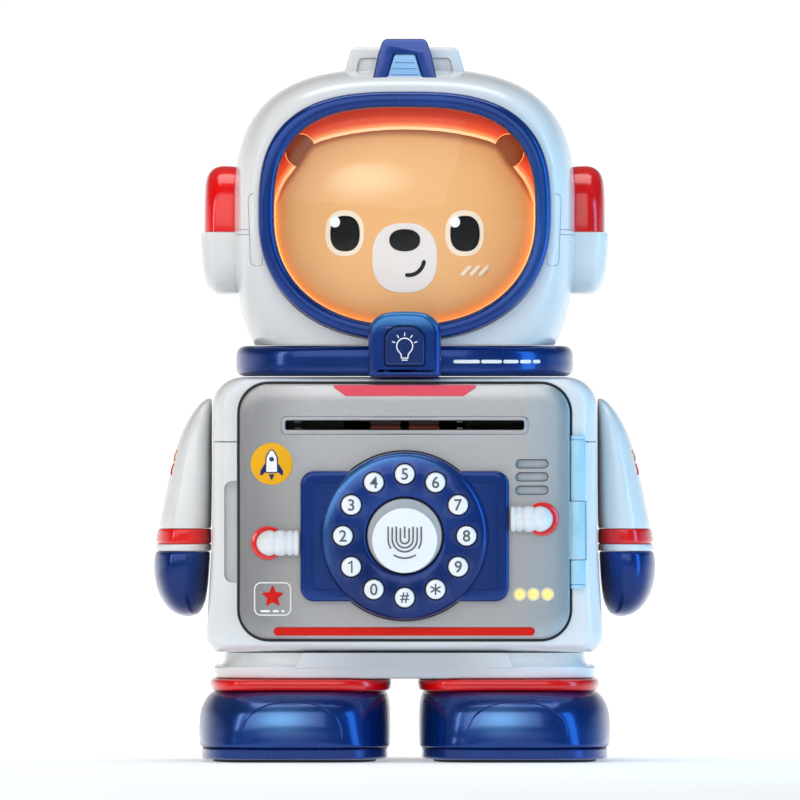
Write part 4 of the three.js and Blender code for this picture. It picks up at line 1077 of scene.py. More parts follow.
def head_distance(p):
    d = p[:, None, :] - hl[None, :, :]
    t = np.clip((d * hseg[None]).sum(2) / np.maximum((hseg ** 2).sum(1)[None], 1e-9), 0, 1)
    return np.sqrt(((d - t[..., None] * hseg[None]) ** 2).sum(2)).min(1)



ts = [0.03] + [k / 60 for k in range(2, 60)] + [0.985]
bowl = [at_y([(x * t, 188.5 + (z - 188.5) * t) for x, z in se(count=240, grow=0.2, **V_IN)], -35.2 - 0.9 * t ** 8) for t in ts]
edge = se(count=240, grow=0.2, **V_IN)
bowl += [at_y([(x * 0.993, 188.5 + (z - 188.5) * 0.993) for x, z in edge], -37.2), at_y([(x, z) for x, z in edge], -43.8),
         at_y([(x * 1.012, 188.5 + (z - 188.5) * 1.012) for x, z in edge], -43.8), at_y([(x * 1.012, 188.5 + (z - 188.5) * 1.012) for x, z in edge], -33.6)]
backing = rings("face_backing_bowl", bowl)
co = np.array([v.co[:] for v in backing.data.vertices]) / MM
dist = head_distance(co[:, [0, 2]])
glow = np.exp(-np.maximum(dist - 0.4, 0) / 2.3)
glow = np.where(co[:, 1] < -37.5, 0.22 + 0.5 * glow, glow)
put_attribute(backing, "glow", glow)
done(backing, BACKING, "case", ["face_reflector"], smooth=60)

# bear head relief, domed and rounded over at its outline
N_F = 360
outline_f = np.array(polar(head_line, (0, 188.0), N_F))
fc = np.array([0, 188.0])
face_loops = []
for t in [0.02] + [k / 40 for k in range(1, 37)] + [0.925, 0.95, 0.97, 0.985, 0.995, 1.0]:
    y = -38.4 - 3.6 * (max(0.0, 1 - t ** 7)) ** 0.5
    face_loops.append([(float(x), y, float(z)) for x, z in fc + (outline_f - fc) * t])
face_loops.append([(float(x), -36.6, float(z)) for x, z in fc + (outline_f - fc) * 0.998])
face = rings("bear_face_relief", face_loops)
co = np.array([v.co[:] for v in face.data.vertices]) / MM
dist = head_distance(co[:, [0, 2]])
# painted shade, darker towards the outline and the top, and a painted highlight, a lighter patch on the upper left of
# the forehead
shade = np.clip(dist / 12.0, 0, 1) ** 0.55 * 0.72
top = np.clip((co[:, 2] - 200) / 20, 0, 1)
shade = shade * (1 - 0.25 * top) + 0.12 * 2.0 * np.exp(-((co[:, 0] + 14) ** 2 / 260.0 + (co[:, 2] - 203) ** 2 / 110.0))
low = np.clip((200 - co[:, 2]) / 14, 0, 1)
shade = shade * (1 - low * 0.8) + low * 0.8 * np.clip(0.5 + dist / 40, 0, 0.7)
put_attribute(face, "shade", shade)
done(face, FACE_PAINTED_LIGHT, "case", ["bear_face"], smooth=50)

# ears: small brown discs behind the head, each with its own lit rim
EAR_RIM = attribute_ramp("lit_edge_strip", "lit", [(0.0, (250, 150, 72)), (1.0, (255, 216, 150))], 0.45, emission=0.7)
for s_, tag in ((-1, "left"), (1, "right")):
    loops = []
    for t in (0.05, 0.5, 0.8, 0.92, 0.98, 1.0):
        loops.append(at_y([(s_ * 36.0 + x * t, 211.2 + z * t) for x, z in se(0, 0, 5.0, 5.6, 5.6, 2.1, 2.1, 64)], -38.2 - 1.2 * (1 - t ** 4) ** 0.5))
    loops.append(at_y([(s_ * 36.0 + x, 211.2 + z) for x, z in se(0, 0, 5.0, 5.6, 5.6, 2.1, 2.1, 64)], -36.6))
    ear_ob = rings(f"bear_ear_{tag}", loops)
    done(ear_ob, EAR_BROWN, "case", smooth=50)
    pts = [(s_ * 36.0 + 5.2 * math.cos(math.radians(a_)), -37.3, 211.2 + 5.8 * math.sin(math.radians(a_))) for a_ in range(0, 360, 10)]
    rim = tube(f"bear_ear_rim_{tag}", pts, 0.24, 8, closed=True)
    put_attribute(rim, "lit", np.full(len(rim.data.vertices), 0.35))
    done(rim, EAR_RIM, "case")
# thin lit strip that follows the whole edge of the face
strip = [(float(x), -37.6, float(z)) for x, z in fc + (outline_f - fc) * 1.004]
rim = tube("face_edge_strip", strip, 0.3, 8, closed=True)
cv = np.array([v.co[:] for v in rim.data.vertices]) / MM
put_attribute(rim, "lit", np.clip((cv[:, 2] - 196) / 20, 0, 1) * 0.9 + 0.1)
done(rim, EAR_RIM, "case")

# printed features
YF = -42.0
for s, tag in ((-1, "left"), (1, "right")):
    ex, ez = s * 20.7, 182.6
    done(slab(f"eye_white_{tag}", se(ex, ez, 6.7, 8.0, 7.9, 2.35, 2.35, 72), YF - 0.22, YF + 0.3, bev=0.12), PRINT_CREAM, "case", weighted=True)
    pupil = se(ex + 0.1, ez - 0.1, 5.1, 6.2, 6.1, 2.4, 2.4, 72)
    done(slab(f"eye_pupil_{tag}", pupil, YF - 0.36, YF + 0.2, bev=0.1), PRINT_BLACK, "case", weighted=True)
    glint = se(ex - 3.35, ez + 3.9, 1.75, 1.95, 1.85, 2.0, 2.0, 36)
    done(slab(f"eye_glint_{tag}", glint, YF - 0.5, YF + 0.1, bev=0.1), PRINT_WHITE, "case", weighted=True)
done(slab("muzzle_print", se(0, 174.2, 11.2, 12.0, 12.0, 2.45, 2.5, 96), YF - 0.24, YF + 0.3, bev=0.12), MUZZLE, "case", weighted=True)
done(slab("nose_print", se(0, 180.3, 5.35, 3.8, 3.9, 2.2, 2.2, 64), YF - 0.5, YF + 0.1, bev=0.22, seg=4), PRINT_BLACK, "case", weighted=True)
mouth = []
for k in range(15):
    a = math.radians(-96 + 86 * k / 14)
    mouth.append((1.35 + 5.35 * math.cos(a), YF - 0.3, 173.7 + 5.5 * math.sin(a)))
done(tube("mouth_print", mouth, 0.70, 10, flat=0.35), PRINT_BLACK, "case")
for i, x in enumerate((21.2, 24.3, 27.4)):
    done(tube(f"cheek_mark_{i + 1}", [(x - 1.15, YF - 0.12, 168.5), (x + 1.15, YF - 0.12, 170.9)], 0.72, 8, flat=0.35), PRINT_CREAM, "case")

# ================================================================ ear pods
def loft_x(name, rows, side, zcut=None, keep_top=True, count=96):
    """rows of [x, half depth, up, down, n] about y 0, z 184; cut flat at zcut."""
    loops = []
    for x, a, up, dn, n in rows:
        loop = []
        for i in range(count):
            t = 2 * PI * i / count
            c, s = math.cos(t), math.sin(t)
            k = (abs(c) ** n + abs(s) ** n) ** (-1 / n)
            loop.append((side * x, a * c * k, 184 + (up if s >= 0 else dn) * s * k))
        loops.append(loop)
    ob = rings(name, loops)
    if zcut is not None:
        bm = bmesh.new()
        bm.from_mesh(ob.data)
        bmesh.ops.bisect_plane(bm, geom=bm.verts[:] + bm.edges[:] + bm.faces[:], plane_co=(0, 0, zcut * MM), plane_no=(0, 0, 1 if not keep_top else -1), clear_outer=True, dist=1e-7)
        bmesh.ops.holes_fill(bm, edges=[e for e in bm.edges if e.is_boundary], sides=0)
        bmesh.ops.recalc_face_normals(bm, faces=bm.faces)
        bm.to_mesh(ob.data)
        bm.free()
    return ob


for side, tag in ((-1, "left"), (1, "right")):
    dome = smooth_rows([[58.0, 18.6, 21.9, 21.9, 2.4], [60, 18.9, 22.2, 22.2, 2.4], [64, 18.9, 22.2, 22.2, 2.4], [66.8, 17.8, 21.0, 21.0, 2.35], [68.6, 15.4, 18.4, 18.4, 2.3], [69.35, 11.6, 14.0, 14.0, 2.25], [69.5, 5, 6, 6, 2.2]], 5)
    ob = loft_x(f"ear_dome_{tag}", dome, side, 183.35, True)
    done(ob, RED, "case", [f"ear_pod_{tag}"], smooth=40, bevel=0.3)
    cup = smooth_rows([[58.0, 18.8, 22.3, 22.3, 2.5], [60, 19.0, 22.4, 22.4, 2.5], [64.5, 19.0, 22.4, 22.3, 2.5], [66.6, 18.6, 21.9, 21.4, 2.5], [68.6, 17.4, 20.5, 18.8, 2.45], [69.8, 15.4, 18.5, 14.6, 2.4], [70.45, 12, 15, 9.0, 2.3], [70.6, 6, 8, 4, 2.2]], 5)
    ob = loft_x(f"ear_cup_{tag}", cup, side, 183.05, False)
    done(ob, WHITE_HELMET_PAINTED_SHADE, "case", smooth=40, bevel=0.3)

# ================================================================ crest
def clear_of_helmet(d=0.0):
    ys = [-46.9] + [47 * math.sin(PI / 2 * k / 12) * -1 for k in range(11, 0, -1)] + [0.0] + [60 * math.sin(PI / 2 * k / 14) for k in range(1, 14)] + [59.95]
    ys = sorted(ys)
    loops = [helmet_section(y, -d) for y in ys]
    return rings("hc", loops)


base_line = fillet([(22.0, 234.5, 0), (18.3, 247.1, 2.6), (-18.3, 247.1, 2.6), (-22.0, 234.5, 0)], 8)
crest = slab("crest_base_moulding", base_line, -25, 24, bev=1.6, seg=5, bev1=1.6)
cut(crest, slab("rc", fillet([(15.6, 243.4, 1.2), (9.5, 243.4, 0.8), (9.5, 236, 0.5), (17.3, 236, 0.5)], 4), -27, -24.2, bev=0, bev1=0),
    slab("rc2", fillet([(-9.5, 243.4, 0.8), (-15.6, 243.4, 1.2), (-17.3, 236, 0.5), (-9.5, 236, 0.5)], 4), -27, -24.2, bev=0, bev1=0))
done(crest, WHITE, "case", ["crest_base"], smooth=32)
for s_, tag in ((-1, "left"), (1, "right")):
    line = [(s_ * 17.2, -25.0, 236.6), (s_ * 16.4, -25.0, 240.0), (s_ * 15.9, -25.0, 242.4), (s_ * 15.3, -25.0, 243.2), (s_ * 14.2, -25.0, 243.4), (s_ * 9.9, -25.0, 243.4)]
    done(tube(f"crest_contour_{tag}", line, 0.15, 6), SEAM, "case")
arch_line = fillet([(11.2, 235.3, 0.8), (9.3, 244.5, 6), (7.4, 250, 2.2), (-7.4, 250, 2.2), (-9.3, 244.5, 6), (-11.2, 235.3, 0.8)], 8)
window_line = fillet([(6.1, 235.9, 0.4), (3.5, 244.6, 0.9), (-3.5, 244.6, 0.9), (-6.1, 235.9, 0.4)], 5)
wl = window_line if area(window_line) > 0 else window_line[::-1]


def lean(ob, front=-20):
    """The arch's front leans forward towards its foot."""
    for v in ob.data.vertices:
        if v.co.y < front * MM:
            v.co.y -= (250 * MM - v.co.z) * 0.80 * min(1.0, (front * MM - v.co.y) / (8 * MM))
    return ob


done(lean(slab("crest_arch_moulding", arch_line, -29.3, 14, bev=0.25, seg=2, bev1=1.4)), NAVY, "case", ["crest_arch"], smooth=32)
done(lean(slab("crest_arch_face", arch_line, -30.5, -29.15, holes=[inset(wl, -0.1)], bev=0.7, seg=5, bev1=0.05)), NAVY, "case", smooth=32)
done(lean(slab("crest_window", window_line, -29.75, -28.8, bev=0.3)), LIGHT_BLUE, "case", weighted=True)
for i, z in enumerate((237.8, 239.9, 242.0)):
    hw = 6.1 - (z - 235.9) * 0.3 - 1.2
    done(lean(tube(f"crest_window_rib_{i + 1}", [(-hw, -29.85, z), (hw, -29.85, z)], 0.28, 8)), LIGHT_BLUE, "case")

# ================================================================ door plate and what is on it
slots = [rrect(38.3, 49.6, z, z + 3.2, 1.55, 8) for z in (92.3, 96.9, 101.4)]
LED_X, LED_Z = (39.7, 44.4, 49.3), 58.0
plate = slab("door_plate_panel", plate_line, -55.2, -52.3, holes=slots + [rrect(-42.4, 42.4, 113.3, 119.1, 1.5, 5)] + [circle(x, LED_Z, 1.5, 28) for x in LED_X], bev=0.45, seg=5, bev1=0.3, crown=(5.9, 0.95))
done(plate, PLATE_PAINTED_SHADE, "door", ["door_plate"], weighted=True)
done(slab("top_trim", fillet([(25.3, 130.2, 0.4), (-25.3, 130.2, 0.4), (-20.4, 126.4, 0.6), (20.4, 126.4, 0.6)], 4), -55.5, -54.9, bev=0.15), CORAL, "door", weighted=True)
done(slab("lower_bar", rrect(-45.2, 44.9, 43.7, 46.6, 1.42, 8), -56.0, -54.9, bev=0.45, seg=4), BAR_RED, "door", weighted=True)

# banknote slot: bright rim, black throat, rollers
done(slab("slot_rim", rrect(-42.6, 42.6, 113.2, 119.2, 1.9, 8), -55.75, -54.6, holes=[rrect(-41.2, 41.2, 114.7, 118.0, 0.8, 6)], bev=0.4, seg=4), SILVER_RIM, "door", weighted=True)
throat = slab("slot_throat", rrect(-42.2, 42.2, 113.5, 118.9, 1.2, 5), -55.0, -44.9, holes=[rrect(-41, 41, 114.9, 117.8, 0.4, 4)], bev=0.1)
done(throat, BLACK, "door", ["note_slot_bezel"], weighted=True)


def bar_x(name, steps, y, z, mat, body, replaces=(), count=40):
    """Stepped bar along X: steps of (x, radius)."""
    loops = []
    for x, r in steps:
        loops.append([(x, y + r * math.cos(2 * PI * i / count), z + r * math.sin(2 * PI * i / count)) for i in range(count)])
    return done(rings(name, loops), mat, body, replaces, bevel=0.15)


bar_x("feed_roller_shaft", [(-39.4, 1.5), (22.4, 1.5)], -38, 111.2, SHAFT, "feed_roller", ["feed_roller"])
bar_x("pressure_roller_shaft", [(-39.4, 1.2), (22.4, 1.2)], -38, 118.8, SHAFT, "pressure_roller", ["pressure_roller"])
for i, (x0, x1, mat) in enumerate(((-11.9, -1.4, RUBBER_BROWN), (1.4, 11.9, RUBBER_BROWN))):
    bar_x(f"feed_roller_tyre_{i + 1}", [(x0, 4.6), (x0 + 0.4, 5.0), (x1 - 0.4, 5.0), (x1, 4.6)], -38, 111.2, mat, "feed_roller")
    bar_x(f"pressure_roller_tyre_{i + 1}", [(x0, 2.0), (x0 + 0.3, 2.3), (x1 - 0.3, 2.3), (x1, 2.0)], -38, 118.8, RUBBER, "pressure_roller")

SLOT_GREY = moulded("speaker_cloth", (172, 173, 176), rough=0.8, coat=0.0, mottle=0.2, grain=1600, grain_depth=0.06)
# speaker slots: grey cloth behind, a dark grey ring of painted shadow just inside each slot edge, thin bright lip in
# front
done(slab("speaker_felt", rrect(36.6, 51.2, 90.9, 106, 2, 5), -53.9, -53.3, bev=0.1), SLOT_GREY, "door", weighted=True)
for i, s in enumerate(slots):
    ccw = s if area(s) > 0 else s[::-1]
    done(slab(f"speaker_slot_painted_shadow_{i + 1}", inset(ccw, -0.06), -54.75, -54.3, holes=[inset(ccw, 0.3)], bev=0.05), PRINT_GREY, "door", weighted=True)
    done(slab(f"speaker_lip_{i + 1}", inset(ccw, -0.42), -55.36, -54.5, holes=[ccw], bev=0.2), SILVER_RIM, "door", weighted=True)

# indicator lamps
for i, x in enumerate(LED_X):
    dome = [(0, -56.0), (0.5, -55.93), (0.9, -55.7), (1.2, -55.3), (1.3, -54.8), (1.3, -52.2), (0, -52.2)]
    ob = lathe_y(f"indicator_lamp_{i + 1}", dome, x, LED_Z, 32)
    done(ob, AMBER, "door", ["indicator_light_pipe"] if i == 0 else ())

# a painted glow round each lamp: a disc on the plate, yellow at the lamp fading to grey, with a faint emission
LED_PAINTED_GLOW = attribute_ramp("indicator_painted_glow", "ring", [(0.0, (255, 244, 190)), (0.35, (252, 226, 150)), (0.72, (222, 208, 168)), (1.0, (196, 196, 194))], 0.4, emission=0.12)
for i, x in enumerate(LED_X):
    ob = lathe_y(f"indicator_painted_glow_{i + 1}", [(1.4, -55.22), (1.6, -55.25), (1.9, -55.25), (2.15, -55.24), (2.35, -55.21), (2.35, -55.0), (1.4, -55.0)], x, LED_Z, 36)
    cov = np.array([v.co[:] for v in ob.data.vertices]) / MM
    put_attribute(ob, "ring", np.clip((np.hypot(cov[:, 0] - x, cov[:, 2] - LED_Z) - 1.35) / 0.95, 0, 1))
    done(ob, LED_PAINTED_GLOW, "door")
    done(lathe_y(f"indicator_dot_{i + 1}", [(0, -56.12), (0.26, -56.1), (0.34, -56.0), (0.34, -55.8), (0, -55.8)], x, LED_Z, 16), ORANGE_PRINT, "door")

# round badge with a plain rocket of our own, square badge with a plain star
done(lathe_y("round_badge", [(0, -55.62), (6.9, -55.62), (7.15, -55.55), (7.25, -55.35), (7.25, -54.9), (0, -54.9)], -45.9, 103, 72), YELLOW, "door")
YR = -55.78
rocket = fillet([(-45.9, 108.2, 0.6), (-44.2, 105.4, 1.6), (-44.0, 100.2, 0.5), (-47.8, 100.2, 0.5), (-47.6, 105.4, 1.6)], 6)
done(slab("badge_rocket_outline", inset(rocket if area(rocket) > 0 else rocket[::-1], -0.42), YR + 0.06, -55.3, bev=0.05), NAVY_DEEP, "door", weighted=True)
done(slab("badge_rocket_body", rocket, YR - 0.06, -55.3, bev=0.06), PRINT_WHITE, "door", weighted=True)
for s in (-1, 1):
    fin = fillet([(-45.9 + s * 2.1, 103.4, 0.2), (-45.9 + s * 3.9, 100.6, 0.4), (-45.9 + s * 3.9, 98.6, 0.3), (-45.9 + s * 2.1, 100.2, 0.2)], 4)
    tag = "l" if s < 0 else "r"
    done(slab(f"badge_fin_{tag}", fin, YR, -55.3, bev=0.05), NAVY_DEEP, "door", weighted=True)
done(lathe_y("badge_porthole", [(0, -55.95), (0.75, -55.95), (0.85, -55.8), (0.85, -55.4), (0, -55.4)], -45.9, 104.6, 24), NAVY_DEEP, "door")
done(slab("badge_flame", fillet([(-44.9, 99.4, 0.2), (-45.9, 97.2, 0.2), (-46.9, 99.4, 0.2)], 3), YR, -55.3, bev=0.05), NAVY_DEEP, "door", weighted=True)

square = rrect(-52.0, -39.1, 50.6, 62.2, 2.4, 8)
sq = square if area(square) > 0 else square[::-1]
done(slab("square_badge_frame", sq, -55.5, -54.9, holes=[inset(sq, 0.45)], bev=0.12), PRINT_WHITE, "door", weighted=True)
star = []
for k in range(10):
    r = 4.3 if k % 2 == 0 else 1.9
    a = PI / 2 + k * PI / 5
    star.append((-45.55 + r * math.cos(a), 57.2 + r * math.sin(a), 0.35 if k % 2 == 0 else 0.15))
done(slab("square_badge_star", fillet(star, 3), -55.6, -54.9, bev=0.1), BAR_RED, "door", weighted=True)
for i, (x0, x1) in enumerate(((-49.8, -46.4), (-45.6, -43.4), (-42.6, -41.4))):
    done(slab(f"square_badge_mark_{i + 1}", rrect(x0, x1, 51.8, 52.6, 0.38, 4), -55.5, -54.9, bev=0.06), PRINT_WHITE, "door", weighted=True)

# keypad backing, dial, keys and pad
DZ = 78.2
back_line = rrect(-36, 36, 55.5, 100.6, 4.8, 10)
bk = slab("keypad_backing_plate", back_line, -59.3, -55.0, bev=1.5, seg=6, bev1=0.3)
line = rrect(-32.2, 32.2, 59.3, 96.8, 3.0, 8)
line = line if area(line) > 0 else line[::-1]
cut(bk, slab("gl", line, -60, -58.85, holes=[inset(line, 0.55)], bev=0, bev1=0), slab("cc", circle(0, DZ, 28.0, 72), -62, -54, bev=0, bev1=0))
done(bk, NAVY, "door", ["keypad_backing"], smooth=32)

dial_prof = [(13.4, -58.0), (13.4, -61.3)] + [(13.4 + 1.1 * (1 - math.cos(math.radians(a))), -61.3 - 1.4 * math.sin(math.radians(a))) for a in (18, 36, 54, 72, 90)]
dial_prof += [(15.6, -62.86), (18.0, -62.98), (21.3, -63.0), (24.0, -62.85), (26.0, -62.4)]
dial_prof += [(26.0 + 3.0 * math.sin(math.radians(a)), -59.4 - 3.0 * math.cos(math.radians(a))) for a in (15, 30, 45, 60, 75, 90)]
dial_prof += [(29.0, -55.4), (26.4, -55.4), (26.4, -58.0)]
dial = lathe_y("dial_ring_moulding", dial_prof, 0, DZ, 160)
order = ["5", "6", "7", "8", "9", "star", "hash", "0", "1", "2", "3", "4"]
sign = {"star": "*", "hash": "#"}
cutters = []
for i in range(12):
    a = i * PI / 6
    cutters.append(slab("kh", circle(21.3 * math.sin(a), DZ + 21.3 * math.cos(a), 3.85, 40), -66, -56, bev=0, bev1=0))
cut(dial, *cutters)
# painted highlight: the stored rim value is high on the upper left of the dial's outer rim
cv = np.array([v.co[:] for v in dial.data.vertices]) / MM
rad, ang_ = np.hypot(cv[:, 0], cv[:, 2] - DZ), np.arctan2(cv[:, 2] - DZ, cv[:, 0])
put_attribute(dial, "rim", np.exp(-((rad - 27.2) / 1.3) ** 2) * np.clip(np.cos(ang_ - math.radians(128)), 0, 1) ** 1.4)
done(dial, NAVY_DIAL_PAINTED_LIGHT, "door", ["dial_ring"], smooth=32, bevel=0.12)
# dark ring in the gap round the dial: painted shadow
done(slab("dial_base_ring", circle(0, DZ, 29.55, 120), -56.4, -55.0, holes=[circle(0, DZ, 28.2, 96)], bev=0.3), GAP_PAINTED_SHADOW, "door", weighted=True)
for i, k in enumerate(order):
    a = i * PI / 6
    x, z = 21.3 * math.sin(a), DZ + 21.3 * math.cos(a)
    # dark ring in the gap round each key: painted shadow
    ring = lathe_y(f"key_seat_{k}", [(3.46, -61.4), (3.86, -61.4), (3.86, -59.0), (3.46, -59.0)], x, z, 40)
    done(ring, GAP_PAINTED_SHADOW, "door")
    body = f"key_{k}"
    cap = lathe_y(f"key_cap_{k}", [(0, -63.72), (1.6, -63.72), (2.6, -63.64), (3.15, -63.35), (3.38, -62.8), (3.4, -62.0), (3.4, -59.0), (0, -59.0)], x, z, 48)
    done(cap, KEY_WHITE, body, [f"key_{k}"])
    size = 5.6 if k not in sign else (7.6 if k == "star" else 5.0)
    if k == "1":
        pts = [(x - 0.85, -63.78, z + 1.15), (x - 0.3, -63.78, z + 1.5), (x + 0.2, -63.78, z + 2.0), (x + 0.22, -63.78, z + 1.2), (x + 0.22, -63.78, z), (x + 0.22, -63.78, z - 1.95)]
        done(tube("key_sign_1", pts, 0.27, 8, flat=0.35), PRINT_GREY, body)
    elif k == "star":
        for q in range(3):
            ca, sa = math.cos(math.radians(90 + 60 * q)) * 1.75, math.sin(math.radians(90 + 60 * q)) * 1.75
            done(tube(f"key_sign_star_{q + 1}", [(x - ca, -63.78 - 0.015 * q, z - sa), (x + ca, -63.78 - 0.015 * q, z + sa)], 0.27, 8, flat=0.35), PRINT_GREY, body)
    else:
        done(lettering(f"key_sign_{k}", sign.get(k, k), x, z, -63.84, size, thick=0.24), PRINT_GREY, body)

# the grey base shows as a crescent above the white face, which is set 1.55 mm lower: painted shadow
pad_prof = [(0, -61.9), (6, -61.9), (11.6, -61.9), (12.5, -61.95), (12.8, -61.7), (12.9, -61.2), (12.9, -59.0), (0, -59.0)]
done(lathe_y("fingerprint_pad_base", pad_prof, 0, DZ, 96), PAD_PAINTED_SHADOW, "fingerprint_pad", ["fingerprint_pad"])
# dark ring in the gap round the pad: painted shadow
done(lathe_y("fingerprint_seat", [(13.0, -60.2), (13.38, -60.2), (13.38, -58.6), (13.0, -58.6)], 0, DZ, 96), GAP_PAINTED_SHADOW, "door")
face_prof = [(0, -62.5), (4, -62.52), (8, -62.62), (10.2, -62.78), (10.9, -62.8), (11.2, -62.6), (11.3, -62.2), (11.3, -61.5), (0, -61.5)]
done(lathe_y("fingerprint_pad_face", face_prof, 0, DZ - 1.55, 96), KEY_WHITE, "fingerprint_pad")
# fingerprint sign: nested U-shaped ridges, some broken
YP = -62.66
for i, (r, top, a0, a1, left, rightw) in enumerate(((0.0, 81.2, 0, 0, 0, 0), (1.5, 80.6, 180, 360, 1, 1), (2.9, 81.2, 180, 360, 1, 1), (4.3, 80.9, 180, 360, 1, 1), (5.7, 81.2, 180, 212, 1, 0), (5.7, 81.2, 328, 360, 0, 1))):
    zc = 77.0
    pts = []
    if r == 0:
        pts = [(0, YP, 81.2), (0, YP, 77.6)]
    else:
        if left:
            pts.append((-r, YP, top))
        n = max(4, int(abs(a1 - a0) / 12))
        pts += [(r * math.cos(math.radians(a0 + (a1 - a0) * k / n)), YP, zc + r * math.sin(math.radians(a0 + (a1 - a0) * k / n))) for k in range(n + 1)]
        if rightw:
            pts.append((r, YP, top))
    done(tube(f"print_ridge_{i + 1}", pts, 0.27, 8, flat=0.5), PRINT_GREY, "fingerprint_pad")
low_arc = [(6.9 * math.cos(math.radians(a)), YP - 0.06, 77.4 + 6.9 * math.sin(math.radians(a))) for a in range(238, 303, 8)]
done(tube("print_ridge_7", low_arc, 0.27, 8, flat=0.5), PRINT_GREY, "fingerprint_pad")

# hoses: three soft segments that bend down into a red socket
def hose(name, x_end, x_socket, z, replaces):
    """Collar and rib at the keypad, then two soft bulbs, the last of which bends down into the socket."""
    s = -1 if x_end < 0 else 1
    prof = [(0.0, 3.5), (0.05, 4.15), (0.35, 4.42), (1.0, 4.48), (1.5, 4.3), (1.75, 3.95), (1.95, 3.95), (2.3, 4.25), (3.0, 4.38), (3.7, 4.25), (4.05, 3.9), (4.25, 3.9)]
    for k in range(13):
        u = k / 12
        prof.append((4.4 + 3.9 * u, 3.85 + 0.62 * math.sin(PI * u) ** 0.6))
    for k in range(1, 22):
        u = k / 21
        prof.append((8.4 + 8.6 * u, 3.85 + 0.6 * math.sin(PI * min(1, u * 1.25)) ** 0.6 if u < 0.8 else 3.85 - 0.3 * (u - 0.8) / 0.2))
    loops, count = [], 36
    reach = abs(x_socket - x_end)
    bend0 = 8.8
    rb = reach - bend0
    for d, r in prof:
        if d <= bend0:
            cx, cy, tx, ty = x_end + s * d, -59.1, s, 0.0
        else:
            a = min(PI / 2, (d - bend0) / (17.0 - bend0) * PI / 2)
            cx, cy = x_end + s * (bend0 + rb * math.sin(a)), -59.1 + 3.6 * (1 - math.cos(a))
            tx, ty = s * math.cos(a), math.sin(a) * 0.9
        l = math.hypot(tx, ty)
        nx, ny = -ty / l, tx / l
        loops.append([(cx + nx * r * math.cos(2 * PI * i / count), cy + ny * r * math.cos(2 * PI * i / count), z + r * math.sin(2 * PI * i / count)) for i in range(count)])
    return done(rings(name, loops), WHITE, "door", replaces, smooth=50)


hose("hose_left_tube", -36.5, -47.6, 75.7, ["hose_left"])
hose("hose_right_tube", 36.5, 47.6, 84.0, ["hose_right"])
for x, z, tag in ((-47.2, 75.7, "left"), (47.4, 84.0, "right")):
    prof = [(3.4, -55.0), (3.4, -56.3), (4.1, -57.1), (4.9, -57.35), (5.6, -56.9), (5.9, -56.0), (5.9, -55.0)]
    done(lathe_y(f"hose_socket_{tag}", prof, x, z, 64), RED, "door")

# ================================================================ camera, floor, light
cam_data = bpy.data.cameras.new("camera")
cam = bpy.data.objects.new("camera", cam_data)
scene.collection.objects.link(cam)
DIST = 8.0
cam.location = (-0.00162, -0.055 - DIST, 0.12503)
cam.rotation_euler = (PI / 2, 0, 0)
cam_data.sensor_width = 36
cam_data.lens = 36 * DIST / 0.276
cam_data.clip_end = 200
scene.camera = cam

me = bpy.data.meshes.new("floor")
me.from_pydata([(-40, -40, -0.0001), (40, -40, -0.0001), (40, 40, -0.0001), (-40, 40, -0.0001)], [], [(0, 1, 2, 3)])
floor = bpy.data.objects.new("floor", me)
scene.collection.objects.link(floor)
fm, nt, p = new_material("floor_pale")
tex = node(nt, "ShaderNodeTexCoord")
n = node(nt, "ShaderNodeTexNoise", Scale=2.0, Detail=2.0)
nt.links.new(tex.outputs["Object"], n.inputs["Vector"])
mixf = node(nt, "ShaderNodeMix", data_type="RGBA")
mixf.inputs[6].default_value, mixf.inputs[7].default_value = (0.86, 0.87, 0.885, 1), (0.89, 0.895, 0.90, 1)
nt.links.new(n.outputs["Fac"], mixf.inputs[0])
nt.links.new(mixf.outputs[2], p.inputs["Base Color"])
# the paper gets its own light away from the object, so that it stays even out to the horizon
flat_ = node(nt, "ShaderNodeSeparateXYZ")
nt.links.new(tex.outputs["Object"], flat_.inputs["Vector"])
fade = node(nt, "ShaderNodeMapRange", interpolation_type="SMOOTHSTEP")
fade.inputs["From Min"].default_value, fade.inputs["From Max"].default_value = -0.15, 0.5
fade.inputs["To Min"].default_value, fade.inputs["To Max"].default_value = 0.34, 1.0
nt.links.new(flat_.outputs["Y"], fade.inputs["Value"])
# the paper is a little greyer on the left and a little cooler on the right, both beside the object
side_l = node(nt, "ShaderNodeMapRange", interpolation_type="SMOOTHSTEP")
side_l.inputs["From Min"].default_value, side_l.inputs["From Max"].default_value = -0.65, -0.15
side_l.inputs["To Min"].default_value = 0.6
nt.links.new(flat_.outputs["X"], side_l.inputs["Value"])
near = node(nt, "ShaderNodeMapRange", interpolation_type="SMOOTHSTEP")
near.inputs["From Min"].default_value, near.inputs["From Max"].default_value = 0.4, 1.2
nt.links.new(flat_.outputs["Y"], near.inputs["Value"])
keep = node(nt, "ShaderNodeMath", operation="MAXIMUM")
nt.links.new(side_l.outputs["Result"], keep.inputs[0])
nt.links.new(near.outputs["Result"], keep.inputs[1])
power = node(nt, "ShaderNodeMath", operation="MULTIPLY")
nt.links.new(fade.outputs["Result"], power.inputs[0])
nt.links.new(keep.outputs["Value"], power.inputs[1])
nt.links.new(power.outputs["Value"], p.inputs["Emission Strength"])
dark = node(nt, "ShaderNodeMix", data_type="RGBA")
dark.inputs[6].default_value = (0.5, 0.505, 0.51, 1)
nt.links.new(keep.outputs["Value"], dark.inputs[0])
nt.links.new(mixf.outputs[2], dark.inputs[7])
nt.links.new(dark.outputs[2], p.inputs["Base Color"])
side_r = node(nt, "ShaderNodeMapRange", interpolation_type="SMOOTHSTEP")
side_r.inputs["From Min"].default_value, side_r.inputs["From Max"].default_value = 0.15, 0.65
nt.links.new(flat_.outputs["X"], side_r.inputs["Value"])
